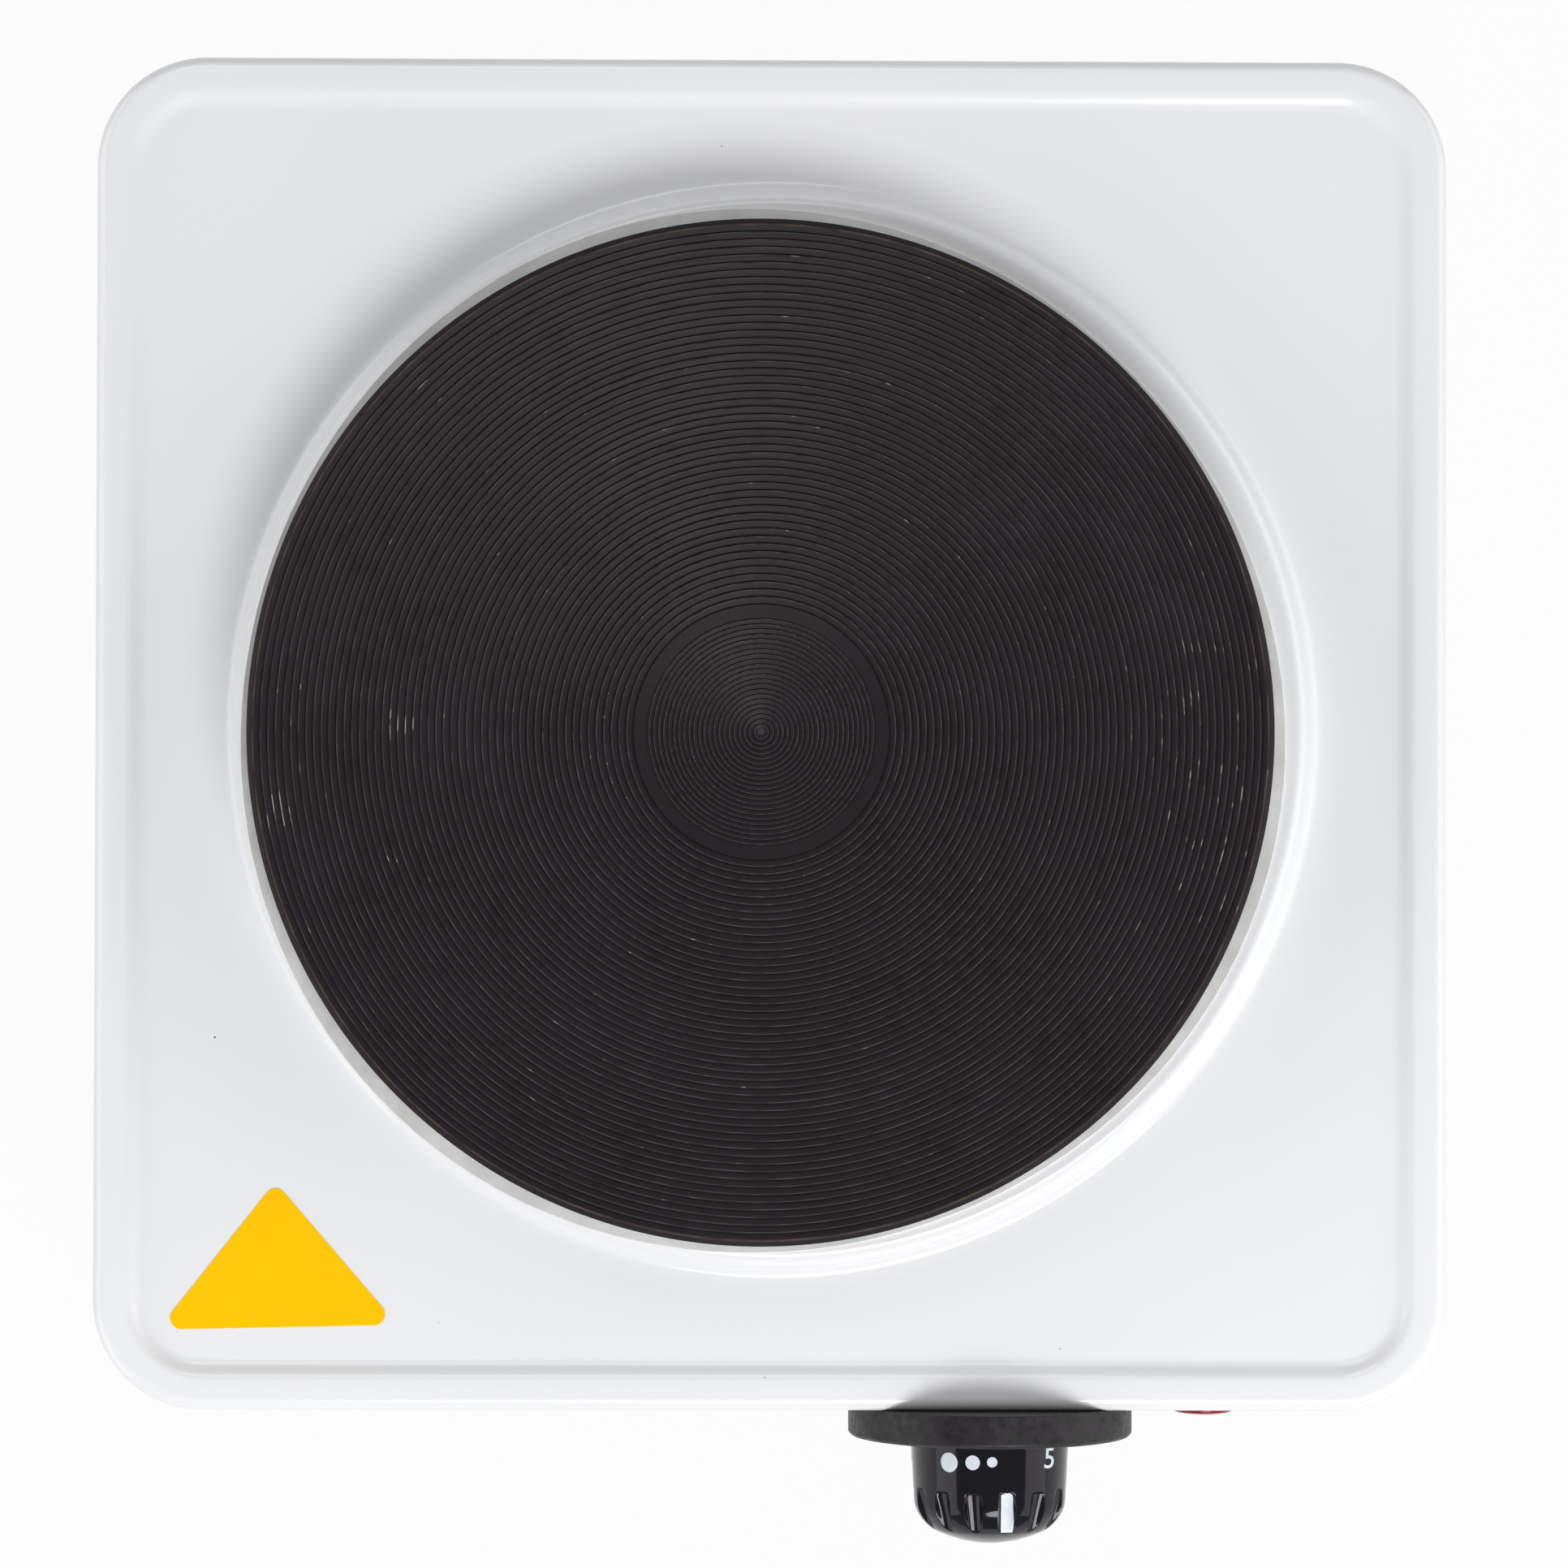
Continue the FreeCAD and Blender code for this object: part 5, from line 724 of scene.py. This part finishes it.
# %% Weld in the corner ears
EAR_BOTTOM, EAR_SHEET, EAR_REACH = 9.0, 1.2, 190.0
wall_inside = HALF_SIDE - SHEET
cut_back = EAR_REACH - wall_inside
ears = bmesh.new()
for side_x, side_y in ((1, 1), (-1, 1), (-1, -1), (1, -1)):
    spots = [ears.verts.new((side_x * x, side_y * y, EAR_BOTTOM)) for x, y in (
        (wall_inside, cut_back), (wall_inside, wall_inside), (cut_back, wall_inside))]
    ear = ears.faces.new(spots)
    ear.normal_update()
    if ear.normal.z < 0:
        ear.normal_flip()
    bmesh.ops.bevel(ears, geom=[spots[1]], affect="VERTICES", offset=CORNER - SHEET, segments=10,
                    profile=0.5, material=-1)
bmesh.ops.solidify(ears, geom=ears.faces[:], thickness=-EAR_SHEET)
bmesh.ops.recalc_face_normals(ears, faces=ears.faces)
set_down(ears, (HOUSING.x, HOUSING.y, 0))
keep("corner_ears", ears, "base", "enamel", ["housing"])

# %% [markdown]
# ### Cooking plate
# The plate is turned on a lathe. Its face is cut in fine saw-tooth ridges: a narrow crest, a long
# slope that falls towards the middle, and a short steep wall. In front of the middle the slopes face
# away from the front lamp and look dark, with the steep walls as bright hairlines. Behind it the same
# slopes catch the light. A bump would lose this from the side, so the ridges are real geometry: the
# outline is worked out ridge by ridge and spun. A finer field fills the middle, inside a smooth ring.

# %% Turn the cooking plate
PLATE = Vector([value / MM for value in PLATE_MIDDLE])
PLATE_RADIUS = PLATE_EDGE / MM
SEAT = plate_low[2] / MM
PLATE_TOP = plate_high[2] / MM - SEAT
FIELD = PLATE_RADIUS - 1.1
RING_OUTER, RING_INNER, CENTRE = 22.9, 20.3, 0.45
MIDDLE_TOP, MIDDLE_DEPTH = PLATE_TOP - 0.3, 0.27
STUD_RADIUS, BOSS_RADIUS, HEATER_RADIUS = 4.1, 22, 82
STUD_DEPTH, HEATER_DEPTH = 6.9, 5.4


def ridges(inner, outer, pitch, depth, land, steep, top):
    """Saw-tooth ridges from the outside in."""
    count = round((outer - inner) / pitch)
    step = (outer - inner) / count
    corners = []
    for number in range(count):
        crest = outer - number * step
        corners += [(crest, top, 0), (crest - land, top, 0), (crest - step + steep, top - depth, 0)]
    return corners


under_side = [(0, STUD_DEPTH, 0), (STUD_RADIUS, STUD_DEPTH, 0), (STUD_RADIUS, 0, 0.3),
              (BOSS_RADIUS, 0, 0.4), (BOSS_RADIUS, HEATER_DEPTH, 0.5),
              (HEATER_RADIUS, HEATER_DEPTH, 0.5), (HEATER_RADIUS, 0, 0.4), (PLATE_RADIUS, 0, 0.5)]
face_line = [(PLATE_RADIUS, PLATE_TOP - 0.7, 0.25), (PLATE_RADIUS - 0.9, PLATE_TOP, 0.15)]
face_line += ridges(RING_OUTER, FIELD, pitch=1.36, depth=0.4, land=0.2, steep=0.14, top=PLATE_TOP)
face_line += [(RING_OUTER, PLATE_TOP, 0), (RING_INNER + 0.1, MIDDLE_TOP - MIDDLE_DEPTH, 0)]
face_line += ridges(CENTRE, RING_INNER, pitch=0.905, depth=MIDDLE_DEPTH, land=0.15, steep=0.1,
                    top=MIDDLE_TOP)
face_line += [(0, MIDDLE_TOP - MIDDLE_DEPTH, 0)]
plate = turned(under_side + face_line, steps=320, segments=3)
set_down(plate, (PLATE.x, PLATE.y, SEAT))
keep("cooking_plate", plate, "base", "seasoned_iron", ["cast_iron_plate"], crease=12)

# %% [markdown]
# ### Softened copies
# Some pieces already have the right shape in the frame and only lack the small radii of moulding or
# stamping. For those a copy of the frame's mesh is merged into one skin, its flat parts are joined, and
# a Bevel modifier rounds what is sharper than an angle. The frame's own mesh stays as it is.

# %% Helpers for softened copies
MERGE, FLAT_ANGLE, SHARP_ANGLE = 0.000002, 0.2, 40


def merged_copy(node):
    drawing = bmesh.new()
    drawing.from_mesh(frame["nodes"][node].data)
    bmesh.ops.remove_doubles(drawing, verts=drawing.verts, dist=MERGE)
    bmesh.ops.dissolve_limit(drawing, angle_limit=math.radians(FLAT_ANGLE), verts=drawing.verts,
                             edges=drawing.edges)
    bmesh.ops.scale(drawing, vec=(1 / MM, 1 / MM, 1 / MM), verts=drawing.verts)
    return drawing


def round_edges(piece, width, segments=3):
    bevel = piece.modifiers.new("rounded edges", "BEVEL")
    bevel.width = width * MM
    bevel.segments = segments
    bevel.limit_method = "ANGLE"
    bevel.angle_limit = math.radians(SHARP_ANGLE)
    bevel.harden_normals = True


print("softening ready")

# %% [markdown]
# ### Heater pan
# Round the plate shows the flange of the steel pan that holds the heater. It was pressed and then
# handled, so it isn't a true circle. A wave with three crests moves the flange's outer points, and
# leaves the pan itself round.

# %% Bend the pan's flange
FLANGE_RADIUS, WIDER, WAVE, WAVE_START = 94.6, 0.4, 0.8, math.pi / 4
pan = merged_copy("heater_pan")
for spot in pan.verts:
    out = spot.co.xy - PLATE.xy
    if out.length > FLANGE_RADIUS - 0.5:
        bend = WAVE * math.cos(3 * math.atan2(out.y, out.x) + WAVE_START)
        spot.co.xy += out.normalized() * (WIDER + bend)
round_edges(keep("heater_pan_flange", pan, "base", "pan_steel", ["heater_pan"]), width=0.2)

# %% [markdown]
# ### Disc behind the knob
# A moulded phenolic disc covers the hole in the wall and carries no marks. Its edges are softly
# rounded and its face is dull, so a softened copy is enough.

# %% Soften the disc
round_edges(keep("knob_disc", merged_copy("knob_bezel"), "base", "bezel_phenolic", ["knob_bezel"]),
            width=0.7, segments=4)

# %% [markdown]
# ### Knob
# The knob is moulded in glossy black phenolic: a slightly tapered skirt, a rounded front edge, a low
# dome, and fourteen grip flutes that run out over the front edge. It is turned first, hollow at the
# back, with the skirt's long edges divided so that there are points for the flutes to move.

# %% Draw the knob's outline
KNOB_LOW, KNOB_HIGH = (Vector([value / MM for value in corner]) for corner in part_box("knob"))
KNOB_BACK = KNOB_HIGH.y
KNOB_LENGTH = KNOB_HIGH.y - KNOB_LOW.y
BACK_RADIUS, SHOULDER_RADIUS, SHOULDER_PLACE = 14.65, 14.1, 11.7
EDGE_RADIUS, EDGE_PLACE, CROWN_RADIUS, CROWN_PLACE = 13.9, 13.4, 11.9, 16.4
SHAFT_RADIUS, SHAFT_DEPTH, HUB_RADIUS = 3.1, 14.0, 6
HOLLOW_RADIUS, HOLLOW_DEPTH, HOLLOW_MOUTH = 11.5, 8, 12.05
SKIRT_INSIDE, SKIRT_START, ROW = 9, 3, 0.2


def knob_outline():
    rise = KNOB_LENGTH - CROWN_PLACE
    dome = (CROWN_RADIUS ** 2 + rise ** 2) / (2 * rise)
    crown = [(CROWN_RADIUS * share,
              KNOB_LENGTH - dome + math.sqrt(dome ** 2 - (CROWN_RADIUS * share) ** 2), 0)
             for share in (0.9, 0.75, 0.5, 0.25)]
    inside = [(0, SHAFT_DEPTH, 0), (SHAFT_RADIUS, SHAFT_DEPTH, 0), (SHAFT_RADIUS, 0, 0),
              (HUB_RADIUS, 0, 0.3), (HUB_RADIUS, HOLLOW_DEPTH, 0.4),
              (HOLLOW_RADIUS, HOLLOW_DEPTH, 0.8), (HOLLOW_MOUTH, 0, 0)]
    outside = [(BACK_RADIUS, 0, 0.3), (SHOULDER_RADIUS, SHOULDER_PLACE, 0.5),
               (EDGE_RADIUS, EDGE_PLACE, 1.2), (CROWN_RADIUS, CROWN_PLACE, 1.6)]
    return inside + outside + crown + [(0, KNOB_LENGTH, 0)]


def divide_skirt(drawing):
    """Cut the long edges of the skirt and the front edge in rows."""
    for edge in drawing.edges[:]:
        near, far = sorted(spot.co.x for spot in edge.verts)
        on_skirt = near > SKIRT_INSIDE and far > HOLLOW_MOUTH + 0.05
        ahead = max(spot.co.z for spot in edge.verts) > SKIRT_START
        if on_skirt and ahead and edge.calc_length() > 2 * ROW:
            bmesh.ops.subdivide_edges(drawing, edges=[edge], cuts=int(edge.calc_length() / ROW))


print("knob", round(KNOB_LENGTH, 1), "mm long")

# %% [markdown]
# Then the points of the skirt that lie in a flute are moved in to its floor: a hollow that a round
# cutter would leave, deeper towards the front, with steep sides and a rounded rear end. There are
# forty steps of the turning from one flute to the next, so all flutes meet the mesh in the same way.

# %% Helpers for the flutes
FLUTES, STEPS_PER_FLUTE = 14, 40
FLUTE_END, FLUTE_HALF, FLUTE_WALL = 9.0, 1.68, 0.36
FLOOR_RADIUS, FLOOR_SLOPE, CUTTER = 13.6, 0.29, 1.9


def flute_share(offset, along):
    """How much of a flute's depth there is at a sideways offset and a place along the knob."""
    beyond = max(FLUTE_END + FLUTE_HALF - along, 0)
    away = (abs(offset) ** 4 + beyond ** 4) ** 0.25
    return ease((FLUTE_HALF - away) / FLUTE_WALL)


def press_flutes(drawing):
    """Move the points of the skirt in to the flutes' hollow floors."""
    pitch = 2 * math.pi / FLUTES
    for spot in drawing.verts:
        reach = spot.co.xy.length
        if spot.co.z < FLUTE_END or reach < SKIRT_INSIDE:
            continue
        away = (math.atan2(spot.co.y, spot.co.x) + pitch / 2) % pitch - pitch / 2
        offset = FLOOR_RADIUS * away
        if abs(offset) < FLUTE_HALF:
            floor = FLOOR_RADIUS - FLOOR_SLOPE * (spot.co.z - FLUTE_END)
            floor += CUTTER - math.sqrt(CUTTER ** 2 - offset ** 2)
            drop = max(reach - floor, 0)
            spot.co.xy *= 1 - flute_share(offset, spot.co.z) * drop / reach


print(FLUTES, "flutes")

# %% [markdown]
# One flute is painted white: the pointer. The paint is a second material on the flute's own faces, so
# it can't float or flicker. The mesh is cut along the pointer's two straight sides, which lean a
# little, and every face inside its outline gets the paint. Last, the knob is turned to the pointer's
# angle and laid on its axis.

# %% Turn the knob
POINTER_ANGLE = math.radians(10.3)
POINTER_WIDTH, POINTER_START, POINTER_END, POINTER_LEAN = 2.2, 9.1, 16.6, 0.07


def cut_pointer(drawing):
    """Cut the flute that lies on +X along the pointer's two straight sides."""
    for side in (-1, 1):
        near = {face for face in drawing.faces
                if min(spot.co.x for spot in face.verts) > SKIRT_INSIDE
                and abs(face.calc_center_median().y) < POINTER_WIDTH
                and POINTER_START < face.calc_center_median().z < POINTER_END}
        parts = near | {edge for face in near for edge in face.edges}
        parts |= {spot for face in near for spot in face.verts}
        bmesh.ops.bisect_plane(drawing, geom=list(parts), dist=0.005,
                               plane_co=(0, side * POINTER_WIDTH / 2, POINTER_START),
                               plane_no=(0, 1, POINTER_LEAN))


def paint_pointer(drawing):
    """Give the floor of the flute that lies on +X the second material."""
    for face in drawing.faces:
        middle = face.calc_center_median()
        across = abs(middle.y + POINTER_LEAN * (middle.z - POINTER_START)) / (POINTER_WIDTH / 2)
        short = max(POINTER_START + 1 - middle.z, 0)
        inside = across ** 4 + short ** 4 < 1 and middle.z < POINTER_END
        face.material_index = 1 if inside and middle.x > SKIRT_INSIDE else 0


def aim_knob(drawing):
    """Turn the flute that lies on +X to the pointer's angle, and point the knob to the front."""
    upright = Matrix.Rotation(math.pi / 2, 3, "X") @ Matrix.Rotation(
        math.pi / 2 - POINTER_ANGLE, 3, "Z")
    bmesh.ops.rotate(drawing, cent=(0, 0, 0), verts=drawing.verts, matrix=upright)
    bmesh.ops.translate(drawing, vec=(KNOB.x, KNOB_BACK, KNOB.z), verts=drawing.verts)


grip = bmesh.new()
draw_outline(grip, knob_outline(), segments=6)
divide_skirt(grip)
turn_round(grip, FLUTES * STEPS_PER_FLUTE)
press_flutes(grip)
cut_pointer(grip)
paint_pointer(grip)
aim_knob(grip)
knob_grip = keep("knob_grip", grip, "knob", "knob_phenolic", ["knob"], crease=45)
knob_grip.data.materials.append(finishes["white_paint"])

# %% [markdown]
# ### Marks on the knob
# The setting is read from marks printed on the skirt: three dots that grow smaller towards the
# pointer, and the plain numbers 1 to 5. They are drawn flat: a dot as a filled circle, a number as a
# text object that is made a mesh. Each is cut in narrow strips so that it can bend, laid just above
# the skirt, and given the paint's thickness.

# %% Helpers for the marks
PAINT, STRIP = 0.035, 0.4
NUMBER_HEIGHT, NUMBER_WIDEN, CAPITAL = 3.9, 1.25, 0.73


def lay_on_skirt(drawing, angle, along):
    """Cut a flat drawing in strips and bend it round the skirt, its top towards the disc."""
    reach = max(abs(spot.co.x) for spot in drawing.verts)
    for number in range(1, int(2 * reach / STRIP)):
        bmesh.ops.bisect_plane(drawing, geom=drawing.verts[:] + drawing.edges[:] + drawing.faces[:],
                               plane_co=(number * STRIP - reach, 0, 0), plane_no=(1, 0, 0), dist=0.0001)
    bmesh.ops.dissolve_degenerate(drawing, dist=0.01, edges=drawing.edges)
    bmesh.ops.triangulate(drawing, faces=drawing.faces)
    for spot in drawing.verts:
        place = along - spot.co.y
        radius = BACK_RADIUS + (SHOULDER_RADIUS - BACK_RADIUS) * place / SHOULDER_PLACE
        turn = math.radians(angle) - spot.co.x / radius
        radius += PAINT
        spot.co = Vector((radius * math.cos(turn), radius * math.sin(turn), place))


def number_drawing(text):
    curve = bpy.data.curves.new("number", "FONT")
    curve.body = text
    curve.size = NUMBER_HEIGHT / CAPITAL
    curve.align_x = curve.align_y = "CENTER"
    curve.offset = 0.03
    holder = bpy.data.objects.new("number", curve)
    flat = bpy.data.meshes.new_from_object(holder)
    drawing = bmesh.new()
    drawing.from_mesh(flat)
    for data, where in ((flat, bpy.data.meshes), (holder, bpy.data.objects), (curve, bpy.data.curves)):
        where.remove(data)
    bmesh.ops.remove_doubles(drawing, verts=drawing.verts, dist=0.001)
    bmesh.ops.scale(drawing, vec=(NUMBER_WIDEN, 1, 1), verts=drawing.verts)
    return drawing


def dot_drawing(radius):
    drawing = bmesh.new()
    bmesh.ops.create_circle(drawing, segments=32, radius=radius, cap_ends=True)
    return drawing


print("marks ready")

# %% [markdown]
# A mark's place is an angle round the skirt from the pointer, and a distance from the skirt's back
# edge. The dots stand beside the pointer, and the numbers go on round the skirt, so that 5 comes to
# stand on the pointer's other side.

# %% Print the marks
NUMBER_PLACE = 3.2
DOTS = ((-44.3, 3.6, 1.8), (-25.7, 3.45, 1.36), (-11.5, 3.3, 0.95))
NUMBERS = (("1", -101.6), ("2", -157), ("3", -213), ("4", -268), ("5", -324))

flat_marks = [(dot_drawing(radius), angle, place) for angle, place, radius in DOTS]
flat_marks += [(number_drawing(text), angle, NUMBER_PLACE) for text, angle in NUMBERS]
marks = bmesh.new()
for drawing, angle, place in flat_marks:
    lay_on_skirt(drawing, -angle, place)
    collect(marks, drawing)
bmesh.ops.solidify(marks, geom=marks.faces[:], thickness=PAINT)
bmesh.ops.recalc_face_normals(marks, faces=marks.faces)
aim_knob(marks)
keep("dial_marks", marks, "knob", "knob_phenolic", finish=finishes["white_paint"])

# %% [markdown]
# ### Pilot lamp lens
# A red dome with a straight edge and a hollow barrel behind it that reaches through the wall. The
# frame's lens shows its facets, so this one is turned anew with a finer curve.

# %% Turn the lens
REACH, EDGE, LENS, BARREL, BORE, DEPTH = 2.2, 1.3, 5.7, 4.9, 3.7, 10.0
barrel = [(BORE, -DEPTH, 0), (BARREL, -DEPTH, 0.2), (BARREL, 0, 0), (LENS, 0, 0.1), (LENS, EDGE, 0)]
dome = [(LENS * math.cos(turn), EDGE + (REACH - EDGE) * math.sin(turn), 0)
        for turn in (math.radians(step * 10) for step in range(1, 9))]
hollow = [(0, REACH, 0), (0, EDGE, 0), (BORE, EDGE, 0.2), (BORE, -DEPTH, 0)]
lens_skin = turned(barrel + dome + hollow, steps=64, segments=3)
set_down(lens_skin, (LAMP.x, HOUSING.y - HALF_SIDE, LAMP.z), FRONT)
keep("pilot_lens", lens_skin, "base", "lens_red", ["lamp_lens"])

# %% [markdown]
# ### Feet, gland and base plate
# Softened copies again: moulded rubber has radii of about half a millimetre, and the stamped base
# plate has a small break on its folded hem. The gland's flange is a millimetre thick, so its edges
# are rounded by less than half of that.

# %% Soften feet, gland and base plate
for name, node, slot_name, width, segments in (
        ("feet", "rubber_feet", "foot_rubber", 0.6, 3), ("gland", "cord_gland", "foot_rubber", 0.45, 3),
        ("base_sheet", "base_plate", "galvanised_sheet", 0.3, 2)):
    round_edges(keep(name, merged_copy(node), "base", slot_name, [node]), width, segments)

# %% [markdown]
# ## The other nodes
# All that is inside, and the sticker, keeps the frame's own mesh. The frame names each node's material
# slot after its finish, so the finish is looked up by that name.

# %% Finish the frame's own nodes
shown = 0
for node in frame["nodes"].values():
    for part in node.material_slots:
        part.material = finishes[part.material.name.split(".")[0]]
    shown += not node.hide_render
print("frame nodes that show:", shown)

# %% [markdown]
# ## Studio
# The table is a plain pale sheet, a hair below the feet so that the two faces don't flicker. To the
# camera, in reflections and through glass it looks white, because most of what they see is its own
# light. The rest is matt grey: it keeps the soft shade under the housing, and throws little light up.

# %% Lay the table
OWN_LIGHT, TABLE_GREY, TABLE_DROP = 0.955, 0.50, 0.0003
table = bmesh.new()
bmesh.ops.create_grid(table, x_segments=1, y_segments=1, size=3)
set_down(table, (0, 0, -TABLE_DROP))
sheet = bpy.data.meshes.new("table")
table.to_mesh(sheet)
table.free()
floor = bpy.data.objects.new("table", sheet)
bpy.context.collection.objects.link(floor)

paper, tree, shader = start_material("pale_table")
tree.nodes.remove(shader)
rays = add(tree, "LightPath")
seen = math_node(tree, "MAXIMUM", rays.outputs["Is Camera Ray"], math_node(
    tree, "MAXIMUM", rays.outputs["Is Glossy Ray"], rays.outputs["Is Transmission Ray"]))
matt = add(tree, "BsdfDiffuse", {"Color": colour(TABLE_GREY, TABLE_GREY, TABLE_GREY)})
glow = add(tree, "Emission", {"Color": colour(1, 1, 1), "Strength": 1.0})
mix = add(tree, "MixShader", {"Fac": math_node(tree, "MULTIPLY", seen, OWN_LIGHT),
                              1: matt.outputs["BSDF"], 2: glow.outputs["Emission"]})
tree.links.new(mix.outputs["Shader"], tree.nodes["Material Output"].inputs["Surface"])
sheet.materials.append(paper)
print("table laid")
